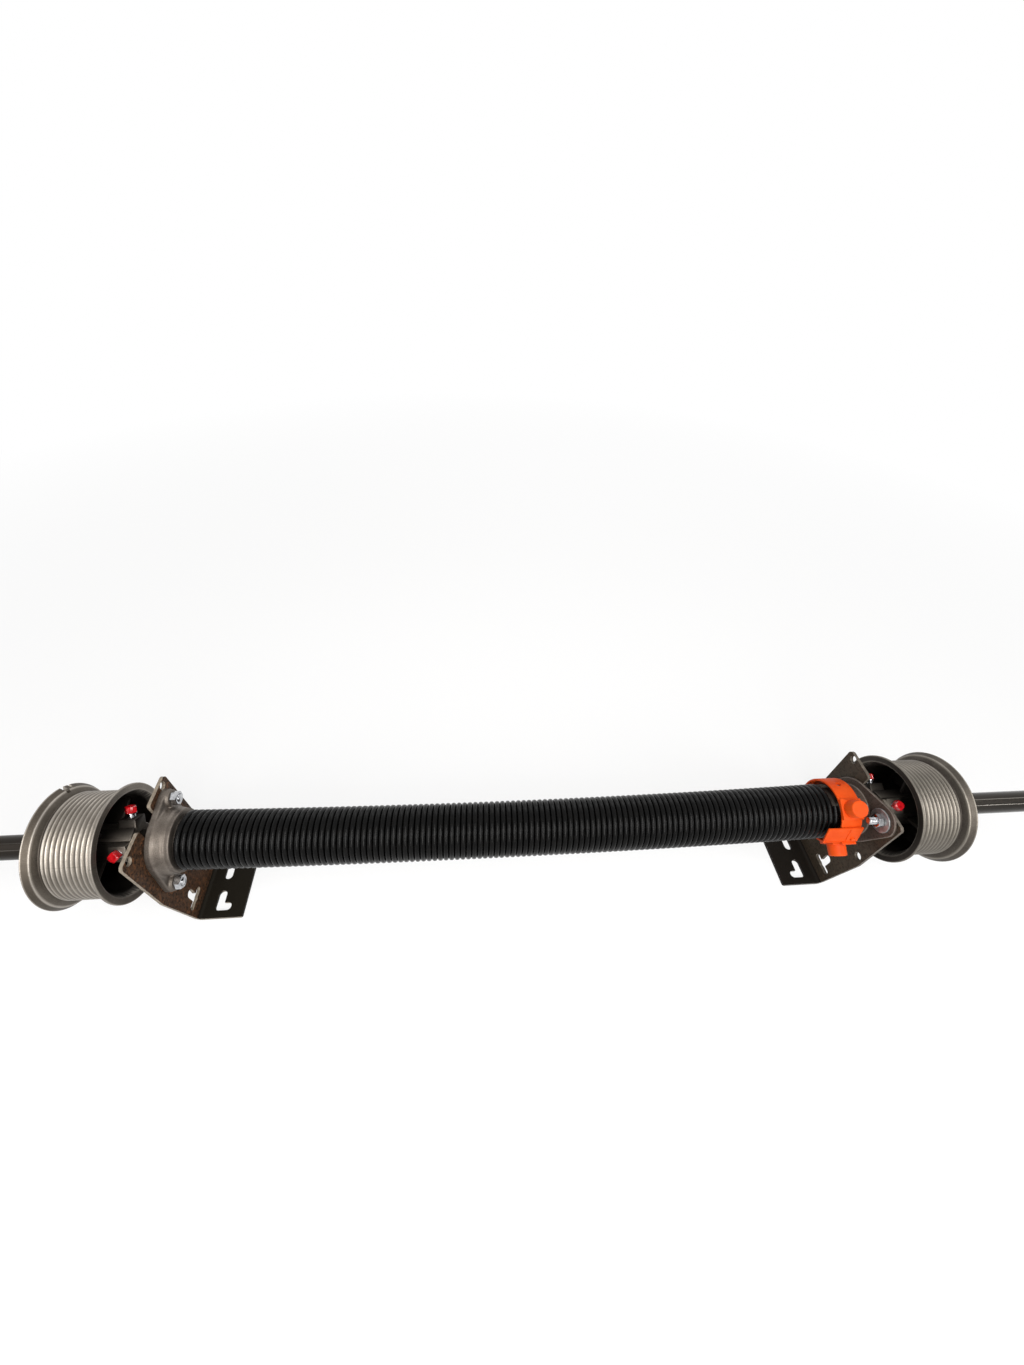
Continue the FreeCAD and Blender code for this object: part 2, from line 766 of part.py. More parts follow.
def make_cover():
    body = new_body("winding_cone_cover")
    end = "cover_start + cover_width"
    skin = "cover_bore_radius + cover_wall"
    spin_profile(body, [
        ("cover_start", "cover_bore_radius"),
        (end, "cover_bore_radius"),
        (end, skin),
        ("cover_start", skin),
    ])
    pad_block = radial_block(body, "Additive", "cover_start", "cover_width", "cover_pad_width",
                             "cover_bore_radius", "cover_pad_reach")
    knob = radial_rod(body, "Additive", "socket_station", "knob_radius", "cover_bore_radius", "knob_reach")
    plug = radial_rod(body, "Additive", "socket_station", "socket_radius - plug_gap",
                      "socket_floor + plug_gap", "cover_bore_radius + 1")
    repeat_round(body, [pad_block, knob, plug], "knob_count", "90")
    radial_block(body, "Additive", "cover_start - tag_overhang", "tag_length", "tag_width",
                 skin + " - 0.4", skin + " - 0.4 + tag_thickness", "tag_angle")
    radial_block(body, "Additive", "cover_start + cover_width / 4", "cover_width * 0.7", "clasp_thickness",
                 "cover_bore_radius + 0.5", "clasp_reach", "clasp_angle")
    radial_rod(body, "Additive", "cover_start + cover_width * 0.7", "peg_radius", "cover_bore_radius + 0.5",
               "peg_reach", "(tag_angle + clasp_angle) / 2")
    radial_rod(body, "Subtractive", "cover_start + cover_width / 2", "vent_radius", "cover_bore_radius - 2",
               "cover_pad_reach + 1", "vent_angle")
    return set_on_shaft(body, cone_station, "cone_angle")


# Grooved cable drums

def make_drum(label, station, angle, slot_angle, turned):
    body = new_body(label)
    bore = "shaft_diameter / 2 + fit_gap"
    back = "drum_width - web_recess"
    web = "drum_width - web_recess - web_thickness"
    grooves_end = "barrel_start + groove_count * groove_pitch"
    channel = "barrel_radius - groove_depth - channel_depth"
    lip = "drum_width - flange_rim_width"
    spin_profile(body, [
        ("-hub_overhang", bore),
        ("drum_width", bore),
        ("drum_width", "hub_radius"),
        (back, "hub_radius"),
        (back, "barrel_radius"),
        ("drum_width", "barrel_radius"),
        ("drum_width", flange_radius, "0.8"),
        (lip, flange_radius + " - flange_lip_drop", "0.8"),
        (lip + " - flange_slope_width", channel),
        (grooves_end, channel),
        (grooves_end, "barrel_radius"),
        ("barrel_start", "barrel_radius"),
        ("rim_width", "barrel_radius + rim_height"),
        ("0", "barrel_radius + rim_height"),
        ("0", barrel_bore + " + mouth_flare"),
        ("mouth_depth", barrel_bore),
        (web, barrel_bore),
        (web, "hub_radius"),
        ("-hub_overhang", "hub_radius"),
    ])
    # cable grooves
    sketch = sketch_on(body, "XZ_Plane")
    outline(sketch, [
        ("barrel_start", "barrel_radius"),
        ("barrel_start + groove_pitch / 2", "barrel_radius - groove_depth"),
        ("barrel_start + groove_pitch", "barrel_radius"),
    ])
    groove = spin(body, sketch, "Groove")
    row = body.newObject("PartDesign::LinearPattern", label + "_grooves")
    row.Originals = [groove]
    row.Direction = (sketch, ["H_Axis"])
    bind(row, Length="groove_pitch * (groove_count - 1)", Occurrences="groove_count")
    body.Tip = row
    # square bosses for the set screws, a quarter turn apart
    boss = radial_block(body, "Additive", "-hub_overhang", "screw_boss_width", "screw_boss_width",
                        "hub_radius - 4", "screw_boss_reach")
    repeat_round(body, [boss], "2", "90", reverse=True)
    # ribs from hub to barrel
    rib = radial_block(body, "Additive", web + " - rib_length", "rib_length + 1", "rib_thickness",
                       "hub_radius - 2", barrel_bore + " + 1", "45")
    repeat_round(body, [rib], "rib_count")
    # flat pad along the hub between the bosses
    radial_block(body, "Additive", "-hub_overhang", web + " + hub_overhang", "hub_pad_width",
                 "hub_radius - 5", "hub_radius + hub_pad_height", "-45")
    hole = radial_rod(body, "Subtractive", "screw_boss_width / 2 - hub_overhang",
                      "screw_hole_diameter / 2", "0", "screw_boss_reach + 1")
    repeat_round(body, [hole], "2", "90", reverse=True)
    # cable slot and a smaller notch beside it
    radial_block(body, "Subtractive", lip + " - 4", "flange_rim_width + 6", "cable_slot_width",
                 flange_radius + " - cable_slot_depth", flange_radius + " + 2", slot_angle)
    radial_block(body, "Subtractive", lip + " - 4", "flange_rim_width + 6", "slot_notch_width",
                 flange_radius + " - slot_notch_depth", flange_radius + " + 2", slot_angle + " + slot_notch_turn")
    relative = "%s - key_angle" % angle if turned else "key_angle - %s" % angle
    cut_keyway(body, "-hub_overhang - 1", "hub_overhang + drum_width + 2", relative)
    return set_on_shaft(body, station, angle, turned)


def make_drum_screws(label, station, angle, screws, turned):
    body = new_body(label)
    for side, foot, lift in screws:
        add_set_screw(body, "screw_boss_width / 2 - hub_overhang", foot, "screw_boss_reach + " + lift, side)
    return set_on_shaft(body, station, angle, turned)


make_shaft()
make_spring()
make_bracket("left_bracket", left_face, False)
make_bracket("right_bracket", right_face, True)
make_stationary_cone()
make_bearing("cone_bearing", left_face, False)
cone_grip = "lug_boss_height + cone_nut_height + cone_stud_rest"
make_bolts("cone_bolts", cone_grip, left_face, "-bolt_angle", False)
make_nuts("cone_nuts", "lug_boss_height", "cone_nut_height", left_face, "-bolt_angle", False)
make_bearing_flange()
make_bearing("flange_bearing", right_face, True)
flange_stack = "flange_plate_thickness + washer_thickness"
flange_grip = flange_stack + " + flange_nut_height + flange_stud_rest"
make_bolts("flange_bolts", flange_grip, right_face, "bolt_angle", True)
make_washers()
make_nuts("flange_nuts", flange_stack, "flange_nut_height", right_face, "bolt_angle", True)
make_winding_cone()
make_winding_cone_screws()
make_cover()
make_drum("left_drum", left_rim, "left_drum_angle", "left_slot_angle", True)
make_drum("right_drum", right_rim, "key_angle", "right_slot_angle", False)
make_drum_screws("left_drum_set_screws", left_rim, "left_drum_angle", [
    ("0", shaft_radius, "top_screw_lift"),
    ("-90", shaft_radius, "front_screw_lift"),
], True)
# the front screw of the right drum presses on its key
make_drum_screws("right_drum_set_screws", right_rim, "key_angle", [
    ("0", key_top, "front_screw_lift"),
    ("-90", shaft_radius, "top_screw_lift"),
], False)
make_key("left_drum_key", left_rim + " - drum_width", "drum_width + hub_overhang")
make_key("right_drum_key", right_rim + " - hub_overhang", "drum_width + hub_overhang")
make_key("winding_cone_key", cone_station + " - spigot_length", "spigot_length + head_length")

doc.recompute()

# Every object has to be sound before any file is written
for item in doc.Objects:
    if "Invalid" in item.State or "Error" in item.State:
        raise RuntimeError("%s did not build: %s" % (item.Label, item.State))
pieces = [item for item in doc.Objects if item.TypeId == "PartDesign::Body" or item.Name == "torsion_spring"]
for piece in pieces:
    if piece.Shape.isNull() or not piece.Shape.isValid() or piece.Shape.Volume <= 0:
        raise RuntimeError("%s has no sound solid" % piece.Label)

os.makedirs("parts", exist_ok=True)
for piece in pieces:
    piece.Shape.exportStep("parts/%s.step" % piece.Label)
    print(piece.Label, len(piece.Shape.Solids), "solids", round(piece.Shape.Volume), "mm3")
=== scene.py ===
import bmesh
import bpy
import math
from mathutils import Matrix, Vector


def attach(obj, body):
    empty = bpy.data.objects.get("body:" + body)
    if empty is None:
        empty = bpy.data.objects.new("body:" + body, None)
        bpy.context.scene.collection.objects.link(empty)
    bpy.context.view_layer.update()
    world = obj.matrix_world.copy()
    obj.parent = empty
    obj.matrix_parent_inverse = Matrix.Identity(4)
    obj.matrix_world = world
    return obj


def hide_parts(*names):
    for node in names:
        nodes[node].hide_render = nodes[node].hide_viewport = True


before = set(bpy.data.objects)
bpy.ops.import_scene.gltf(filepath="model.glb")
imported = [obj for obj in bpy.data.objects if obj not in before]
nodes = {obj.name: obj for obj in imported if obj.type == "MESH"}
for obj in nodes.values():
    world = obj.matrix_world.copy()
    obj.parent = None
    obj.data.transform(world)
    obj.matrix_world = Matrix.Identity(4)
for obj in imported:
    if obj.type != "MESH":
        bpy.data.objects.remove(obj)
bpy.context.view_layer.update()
print("frame loaded")

# Sizes in the dictionaries are in millimetres and angles in degrees, unless a note says so.
# The shaft runs along X, and angles about it go from straight up towards the front.
mm = 0.001
perMetre = 1000.0
axisHeight = 0.127  # of the shaft, in metres
bracketFace = 392.0  # from the middle to either bracket


# Node trees, where sums and products of sockets read as formulas

class Link:
    def __init__(self, net, socket):
        self.net = net
        self.socket = socket

    def maths(self, operation, first, second=0.0):
        return self.net.add("ShaderNodeMath", {"operation": operation}, {0: first, 1: second})

    def __add__(self, other):
        return self.maths("ADD", self, other)

    def __radd__(self, other):
        return self.maths("ADD", other, self)

    def __sub__(self, other):
        return self.maths("SUBTRACT", self, other)

    def __rsub__(self, other):
        return self.maths("SUBTRACT", other, self)

    def __mul__(self, other):
        return self.maths("MULTIPLY", self, other)

    def __rmul__(self, other):
        return self.maths("MULTIPLY", other, self)

    def __truediv__(self, other):
        return self.maths("DIVIDE", self, other)

    def __rtruediv__(self, other):
        return self.maths("DIVIDE", other, self)

    def __neg__(self):
        return self.maths("MULTIPLY", self, -1.0)

    def __abs__(self):
        return self.maths("ABSOLUTE", self)

    def sine(self):
        return self.maths("SINE", self)

    def cosine(self):
        return self.maths("COSINE", self)


class Net:
    def __init__(self, tree):
        self.tree = tree

    def add(self, kind, settings, sockets, output=0):
        node = self.tree.nodes.new(kind)
        for key, setting in settings.items():
            if key == "stops":
                self.setStops(node.color_ramp, setting)
            else:
                setattr(node, key, setting)
        for key, value in sockets.items():
            self.feed(node.inputs[key], value)
        return Link(self, node.outputs[output])

    def setStops(self, ramp, stops):
        while len(ramp.elements) < len(stops):
            ramp.elements.new(0.5)
        for element, (place, tone) in zip(ramp.elements, stops):
            element.position = place
            element.color = (*tone, 1.0) if isinstance(tone, tuple) else (tone, tone, tone, 1.0)

    def feed(self, socket, value):
        if isinstance(value, Link):
            self.tree.links.new(value.socket, socket)
        elif isinstance(value, tuple) and len(value) == 3 and socket.type == "RGBA":
            socket.default_value = (*value, 1.0)
        else:
            socket.default_value = value

    def ramp(self, factor, *stops):
        return self.add("ShaderNodeValToRGB", {"stops": stops}, {"Fac": factor})

    def axes(self, vector):
        return [self.add("ShaderNodeSeparateXYZ", {}, {"Vector": vector}, axis) for axis in "XYZ"]

    def point(self, x, y, z):
        return self.add("ShaderNodeCombineXYZ", {}, {"X": x, "Y": y, "Z": z})

    # One for rays that show the background: seen straight, through glass or in a mirror
    def shownRays(self):
        kinds = ("Is Camera Ray", "Is Transmission Ray", "Is Glossy Ray")
        seen, through, mirrored = [self.add("ShaderNodeLightPath", {}, {}, kind) for kind in kinds]
        return seen + through + mirrored


class Finish(Net):
    def __init__(self, name):
        self.material = bpy.data.materials.new(name)
        self.material.use_nodes = True
        super().__init__(self.material.node_tree)
        self.shader = self.tree.nodes["Principled BSDF"]
        self.place = self.add("ShaderNodeTexCoord", {}, {}, "Object")

    def surface(self, **values):
        for key, value in values.items():
            self.feed(self.shader.inputs[key.replace("_", " ")], value)
        return self.material

    def grain(self, scale, detail=3.0, roughness=0.55, stretch=None):
        where = self.place
        if stretch:
            where = self.add("ShaderNodeMapping", {}, {"Vector": self.place, "Scale": stretch})
        return self.add("ShaderNodeTexNoise", {}, {"Vector": where, "Scale": scale, "Detail": detail,
                                                   "Roughness": roughness})

    # Mix has sockets for every kind of value: 6, 7 and output 2 are the colours
    def mix(self, factor, first, second):
        return self.add("ShaderNodeMix", {"data_type": "RGBA"}, {0: factor, 6: first, 7: second}, 2)

    def mark(self, name):
        return self.add("ShaderNodeAttribute", {"attribute_name": name}, {}, "Fac")

    def bump(self, height, strength, distance):
        return self.add("ShaderNodeBump", {}, {"Height": height, "Strength": strength, "Distance": distance},
                        "Normal")


# Finishes

# Sand-blasted casting: bright on the ridges, duller where the soil mark says, which holds dirt and painted
# shade, dark with painted shade where the mark of the hollow says, with a faint line where the mould parted
def drumFinish(name, ridge, valley, dirt, roughness, hollow=(0.034, 0.029, 0.025), partingTilt=50.0):
    cast = Finish(name)
    cloud = cast.grain(55.0, detail=4.0)
    grit = cast.grain(1100.0, roughness=0.6)
    dullAndShaded = cast.mark("soil")
    y, z = cast.axes(cast.place)[1:]
    tilt = math.radians(partingTilt)
    fromParting = abs(y * math.cos(tilt) + (z - axisHeight) * math.sin(tilt)) * perMetre
    parting = cast.ramp(fromParting, (0.15, 0.22), (0.45, 0.0)) * cast.ramp(dullAndShaded, (0.50, 1.0), (0.58, 0.0))
    soil = dullAndShaded + (cloud - 0.5) * 0.45 + (grit - 0.5) * 0.5 + parting
    # Painted shade: the valley and dirt tones darken the groove valleys, the channel and the hollow, besides
    # dulling the flange's band and rim
    tone = cast.ramp(soil, (0.0, ridge), (0.5, valley), (1.0, dirt))
    # Painted shade: the hollow tone darkens the inside of the drum, the deeper the darker
    tone = cast.mix(cast.mark("inside"), tone, hollow)
    return cast.surface(Base_Color=tone, Metallic=0.85, Roughness=roughness + dullAndShaded * 0.12 + grit * 0.1,
                        Normal=cast.bump(grit * 0.8 + cloud * 0.2, strength=0.45, distance=0.0004))


# Casting of the cones, with dirt in its pits
def castFinish(name, low, high, dirt, roughness):
    cast = Finish(name)
    cloud = cast.grain(70.0, detail=5.0)
    grit = cast.grain(950.0, roughness=0.6)
    tone = cast.mix(cast.ramp(cloud, (0.35, 0.0), (0.65, 1.0)), low, high)
    tone = cast.mix(cast.ramp(grit, (0.30, 0.5), (0.60, 0.0)), tone, dirt)
    return cast.surface(Base_Color=tone, Metallic=0.8, Roughness=roughness + grit * 0.2,
                        Normal=cast.bump(grit * 0.6 + cloud * 0.4, strength=0.6, distance=0.0006))


# Hot-rolled plate: mill scale with rust bloom and dark specks, bare where the cut mark says, which also
# carries painted highlights on arrises and bends
def plateFinish(name, low, high, bloom, speck, edge, foot, bloomAmount, speckAmount, roughness):
    plate = Finish(name)
    cloud = plate.grain(26.0, detail=4.0)
    patches = plate.grain(230.0, detail=4.0, roughness=0.65)
    specks = plate.grain(440.0, roughness=0.6)
    cut = plate.mark("cut")
    tone = plate.mix(plate.ramp(cloud, (0.35, 0.0), (0.65, 1.0)), low, high)
    tone = plate.mix(plate.ramp(patches, (0.50, 0.0), (0.66, bloomAmount)), tone, bloom)
    tone = plate.mix(plate.ramp(specks, (0.52, 0.0), (0.60, speckAmount)), tone, speck)
    tone = plate.mix(plate.mark("foot"), tone, foot)
    wearAndHighlight = cut * (0.55 + plate.ramp(patches, (0.35, 0.0), (0.6, 0.45)))
    tone = plate.mix(wearAndHighlight, tone, edge)
    gloss = roughness + plate.ramp(specks, (0.45, 0.0), (0.65, 0.16)) - cut * 0.08
    return plate.surface(Base_Color=tone, Metallic=0.15, Roughness=gloss, Specular_IOR_Level=0.08,
                         Normal=plate.bump(specks * 0.6 + patches * 0.4, strength=0.3, distance=0.0003))


def springFinish(black, dusty):
    enamel = Finish("springEnamel")
    dust = enamel.grain(140.0, detail=5.0, roughness=0.65)
    ripple = enamel.grain(900.0, roughness=0.6)
    tone = enamel.mix(enamel.ramp(dust, (0.48, 0.0), (0.8, 1.0)), black, dusty)
    gloss = 0.20 + enamel.ramp(dust, (0.40, 0.0), (0.75, 0.10)) + ripple * 0.08
    return enamel.surface(Base_Color=tone, Roughness=gloss, Specular_IOR_Level=0.12,
                          Normal=enamel.bump(ripple, strength=0.3, distance=0.0003))


def zincFinish(name, low, high, roughness):
    zinc = Finish(name)
    cloud = zinc.grain(260.0)
    streak = zinc.grain(500.0, detail=2.0, roughness=0.5, stretch=(1.0, 1.0, 0.25))
    tone = zinc.mix(zinc.ramp(cloud, (0.35, 0.0), (0.7, 1.0)), low, high)
    return zinc.surface(Base_Color=tone, Metallic=1.0, Roughness=roughness + streak * 0.14,
                        Normal=zinc.bump(streak, strength=0.08, distance=0.0002))


def paintFinish(low, high, chip):
    paint = Finish("screwPaint")
    run = paint.grain(320.0)
    chips = paint.ramp(paint.grain(900.0, detail=4.0, roughness=0.7), (0.64, 0.0), (0.69, 1.0))
    tone = paint.mix(paint.ramp(run, (0.3, 0.0), (0.7, 1.0)), low, high)
    tone = paint.mix(chips, tone, chip)
    return paint.surface(Base_Color=tone, Roughness=0.16 + run * 0.15, Coat_Weight=0.5,
                         Normal=paint.bump(run, strength=0.2, distance=0.0004))


def plasticFinish(low, high):
    plastic = Finish("coverPlastic")
    cloud = plastic.grain(45.0)
    skin = plastic.grain(1500.0, detail=2.0)
    tone = plastic.mix(plastic.ramp(cloud, (0.35, 0.0), (0.7, 1.0)), low, high)
    return plastic.surface(Base_Color=tone, Roughness=0.44 + skin * 0.12, Specular_IOR_Level=0.15,
                           Normal=plastic.bump(skin, strength=0.12, distance=0.0002))


# Drawn steel with rust spots, bare where the bright mark says, and darker and rougher towards its left end
def shaftFinish(low, high, spot, bare, leftEndTone):
    steel = Finish("shaftSteel")
    streak = steel.grain(60.0, detail=5.0, roughness=0.6, stretch=(0.12, 1.0, 1.0))
    spots = steel.grain(350.0, detail=4.0, roughness=0.7)
    tone = steel.mix(steel.ramp(streak, (0.3, 0.0), (0.7, 1.0)), low, high)
    tone = steel.mix(steel.ramp(spots, (0.55, 0.0), (0.7, 0.6)), tone, spot)
    tone = steel.mix(steel.mark("bright"), tone, bare)
    toLeft = -steel.axes(steel.place)[0]
    leftEndShare = steel.ramp(toLeft, (0.44, 0.0), (0.49, 0.8))
    tone = steel.mix(leftEndShare, tone, leftEndTone)
    return steel.surface(Base_Color=tone, Metallic=0.9, Roughness=0.12 + spots * 0.16 + leftEndShare * 0.2,
                         Normal=steel.bump(spots, strength=0.12, distance=0.0003))


leftCast = drumFinish("leftDrumCast", ridge=(0.345, 0.314, 0.277), valley=(0.160, 0.141, 0.119),
                      dirt=(0.069, 0.057, 0.045), roughness=0.33)
rightCast = drumFinish("rightDrumCast", ridge=(0.214, 0.195, 0.168), valley=(0.119, 0.106, 0.089),
                       dirt=(0.038, 0.031, 0.026), roughness=0.38)
coneCast = castFinish("coneCast", low=(0.112, 0.094, 0.079), high=(0.183, 0.158, 0.135),
                      dirt=(0.051, 0.041, 0.033), roughness=0.38)
# Painted shade: a darker copy of the cone casting, for the winding cone's place in the shade inside the spring
# and the cover
windingCast = castFinish("windingCast", low=(0.066, 0.056, 0.047), high=(0.107, 0.092, 0.079),
                         dirt=(0.032, 0.026, 0.021), roughness=0.38)
brownPlate = plateFinish("brownPlate", low=(0.050, 0.027, 0.016), high=(0.080, 0.044, 0.026),
                         bloom=(0.200, 0.086, 0.037), speck=(0.018, 0.012, 0.008), edge=(0.34, 0.295, 0.235),
                         foot=(0.012, 0.010, 0.007), bloomAmount=0.9, speckAmount=0.9, roughness=0.44)
darkPlate = plateFinish("darkPlate", low=(0.048, 0.037, 0.026), high=(0.067, 0.052, 0.038),
                        bloom=(0.084, 0.057, 0.037), speck=(0.024, 0.018, 0.014), edge=(0.55, 0.51, 0.45),
                        foot=(0.012, 0.010, 0.008), bloomAmount=0.5, speckAmount=0.6, roughness=0.40)
pressedSteel = plateFinish("pressedSteel", low=(0.076, 0.057, 0.048), high=(0.105, 0.082, 0.069),
                           bloom=(0.108, 0.078, 0.059), speck=(0.030, 0.024, 0.019), edge=(0.36, 0.32, 0.28),
                           foot=(0.105, 0.080, 0.066), bloomAmount=0.4, speckAmount=0.5, roughness=0.34)
springBlack = springFinish(black=(0.0010, 0.0009, 0.0009), dusty=(0.0040, 0.0035, 0.0032))
brightZinc = zincFinish("brightZinc", low=(0.36, 0.365, 0.38), high=(0.58, 0.585, 0.60), roughness=0.10)
raceSteel = zincFinish("raceSteel", low=(0.38, 0.38, 0.39), high=(0.58, 0.58, 0.60), roughness=0.22)
dullZinc = zincFinish("dullZinc", low=(0.24, 0.24, 0.24), high=(0.38, 0.38, 0.38), roughness=0.42)
screwRed = paintFinish(low=(0.34, 0.003, 0.006), high=(0.66, 0.010, 0.016), chip=(0.13, 0.008, 0.010))
coverOrange = plasticFinish(low=(0.66, 0.059, 0.003), high=(0.76, 0.092, 0.010))
shaftSteel = shaftFinish(low=(0.023, 0.020, 0.016), high=(0.046, 0.041, 0.035), spot=(0.046, 0.035, 0.026),
                         bare=(0.33, 0.31, 0.28), leftEndTone=(0.020, 0.016, 0.013))
print("finishes made")


# Mesh helpers

def newPiece(name, bm, material, smoothAngle=40):
    bmesh.ops.remove_doubles(bm, verts=bm.verts, dist=1e-7)
    bmesh.ops.recalc_face_normals(bm, faces=bm.faces)
    mesh = bpy.data.meshes.new(name)
    bm.to_mesh(mesh)
    bm.free()
    piece = bpy.data.objects.new(name, mesh)
    bpy.context.scene.collection.objects.link(piece)
    mesh.materials.append(material)
    shadeSmooth(mesh, smoothAngle)
    return piece


def shadeSmooth(mesh, angle):
    mesh.shade_smooth()
    mesh.set_sharp_from_angle(angle=math.radians(angle))


def applied(piece):
    graph = bpy.context.evaluated_depsgraph_get()
    mesh = bpy.data.meshes.new_from_object(piece.evaluated_get(graph))
    piece.modifiers.clear()
    old = piece.data
    piece.data = mesh
    bpy.data.meshes.remove(old)
    return piece


def weighNormals(piece):
    piece.modifiers.new("even", "WEIGHTED_NORMAL").keep_sharp = True
    return applied(piece)


def combine(piece, tool, operation):
    cut = piece.modifiers.new("combine", "BOOLEAN")
    cut.operation = operation
    cut.solver = "MANIFOLD"
    cut.object = tool
    applied(piece)
    bpy.data.meshes.remove(tool.data)


# Voxels and smoothing run the joins of a casting into one another, as a mould does
def blended(piece, voxel, rounds):
    remesh = piece.modifiers.new("skin", "REMESH")
    remesh.mode = "VOXEL"
    remesh.voxel_size = voxel * mm
    smooth = piece.modifiers.new("fair", "SMOOTH")
    smooth.factor = 0.5
    smooth.iterations = rounds
    applied(piece)
    piece.data.shade_smooth()
    return piece


def handIn(piece, body, slot, *replaced):
    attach(piece, body)
    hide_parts(*replaced)


def sharpEdges(bm, angle):
    return [edge for edge in bm.edges
            if len(edge.link_faces) == 2 and edge.calc_face_angle(0.0) > math.radians(angle)]


def bevelEdges(bm, edges, width, steps=2):
    return bmesh.ops.bevel(bm, geom=edges, offset=width * mm, segments=steps, profile=0.5,
                           affect="EDGES", clamp_overlap=True)["faces"]


def mergedCopy(node):
    bm = bmesh.new()
    bm.from_mesh(nodes[node].data)
    bmesh.ops.remove_doubles(bm, verts=bm.verts, dist=1e-6)
    bmesh.ops.dissolve_limit(bm, angle_limit=math.radians(1.0), verts=bm.verts, edges=bm.edges)
    return bm


def onShaft(x, radius, angle, height):
    return Vector((x, -radius * math.sin(angle), height + radius * math.cos(angle)))


# A corner is x, y and its fillet
def roundedLoop(corners, steps=4):
    loop = []
    for i, (x, y, fillet) in enumerate(corners):
        here = Vector((x, y))
        if not fillet:
            loop.append((x, y))
            continue
        back = Vector(corners[i - 1][:2]) - here
        ahead = Vector(corners[(i + 1) % len(corners)][:2]) - here
        half = back.angle(ahead) / 2
        trim = min(fillet / math.tan(half), 0.49 * back.length, 0.49 * ahead.length)
        radius = trim * math.tan(half)
        centre = here + (back.normalized() + ahead.normalized()).normalized() * (radius / math.sin(half))
        first = here + back.normalized() * trim - centre
        last = here + ahead.normalized() * trim - centre
        for step in range(steps + 1):
            point = centre + first.lerp(last, step / steps).normalized() * radius
            loop.append((point.x, point.y))
    return loop


# A section is a loop of x along the axis and radius, which may change with the angle
def lathe(sectionAt, steps, origin=0.0, hand=1, height=axisHeight):
    bm = bmesh.new()
    rings = []
    for step in range(steps):
        angle = 2 * math.pi * step / steps
        rings.append([bm.verts.new(onShaft((origin + hand * x) * mm, r * mm, angle, height))
                      for x, r in sectionAt(angle)])
    for i, ring in enumerate(rings):
        ahead = rings[(i + 1) % steps]
        for j in range(len(ring)):
            k = (j + 1) % len(ring)
            bm.faces.new((ring[j], ahead[j], ahead[k], ring[k]))
    return bm


def radialPlace(x, angle):
    return Matrix.Translation((x * mm, 0.0, axisHeight)) @ Matrix.Rotation(math.radians(angle), 4, "X")


def radialBlock(x, length, width, inner, outer, angle, fillet, origin, hand=1):
    bm = bmesh.new()
    bmesh.ops.create_cube(bm, size=1.0)
    size = Matrix.Diagonal((length * mm, width * mm, (outer - inner) * mm, 1.0))
    lift = Matrix.Translation((0.0, 0.0, (inner + outer) / 2 * mm))
    bmesh.ops.transform(bm, matrix=size, verts=bm.verts)
    if fillet:
        bevelEdges(bm, bm.edges[:], fillet)
    place = radialPlace(origin + hand * (x + length / 2), angle)
    bmesh.ops.transform(bm, matrix=place @ lift, verts=bm.verts)
    return bm


def radialRod(x, radius, inner, outer, angle, fillet, draft=0.0, steps=40):
    loop = roundedLoop([(inner, 0.0, 0), (inner, radius + draft, 0.2), (outer, radius, fillet),
                        (outer, 0.0, 0)])
    bm = lathe(lambda turn: loop, steps, height=0.0)
    stand = Matrix.Rotation(math.radians(-90.0), 4, "Y")
    bmesh.ops.transform(bm, matrix=radialPlace(x, angle) @ stand, verts=bm.verts)
    return bm


def setMarks(mesh, name, values):
    mark = mesh.attributes.new(name, "FLOAT", "POINT")
    mark.data.foreach_set("value", values)


def ease(low, high, value):
    share = min(1.0, max(0.0, (value - low) / (high - low)))
    return share * share * (3 - 2 * share)


# Cable drums: cast barrel with a helical cable groove, flange, flared rim, hub, ribs and bosses
drum = {
    "station": 424.0, "width": 62.0, "barrel": 55.3, "bore": 50.8, "shaftBore": 12.75, "steps": 180,
    "start": 4.3, "pitch": 4.62, "count": 10, "depth": 1.0, "fade": 1.6, "valley": 0.6, "grooveSteps": 12,
    "rimHeight": 7.2, "rimWidth": 2.4, "mouth": 55.0, "flange": 64.8, "lip": 61.0, "lipWidth": 6.4,
    "slope": 2.6, "channel": 53.9, "hub": 20.0, "overhang": 10.0, "web": 6.0, "recess": 2.0,
    "root": 14.5, "boss": 17.0, "bossReach": 28.5, "pad": 14.0, "padReach": 21.8, "padShort": 2.0,
    "rib": 4.0, "ribLength": 34.0, "ribRoot": 17.0, "ribReach": 52.0, "ribCount": 4,
    "slotLength": 12.4, "sink": 2.0,
}

# Each slot in the flange is its angle, width and depth
leftDrum = {"hand": -1, "bosses": (-38.0, 52.0), "slots": ((-36.0, 5.0, 6.5), (-44.0, 3.2, 3.6)),
            "rimSoil": 0.50, "bandSoil": 1.0}
rightDrum = {"hand": 1, "bosses": (25.0, -65.0), "slots": ((195.0, 5.0, 6.5), (203.0, 3.2, 3.6)),
             "rimSoil": 1.05, "bandSoil": 0.8}

# Dullness of each place, from 0 to 1, which holds dirt and painted shade, and how painted shade darkens the
# hollow from its mouth inwards
drumSoilAndShade = {"hollow": 0.6, "rimEdge": 0.25, "groove": 0.5, "channel": 0.9, "channelRise": 0.2,
            "endFace": 0.3, "lipStep": 0.62}
drumShade = {"wall": 54.0, "face": 2.5, "core": 32.0, "coreRun": (-10.0, 16.0), "wallRun": (-22.0, 8.0),
             "hubShare": 0.8, "litShare": 0.25, "litSpan": 24.0, "farSpan": 32.0}


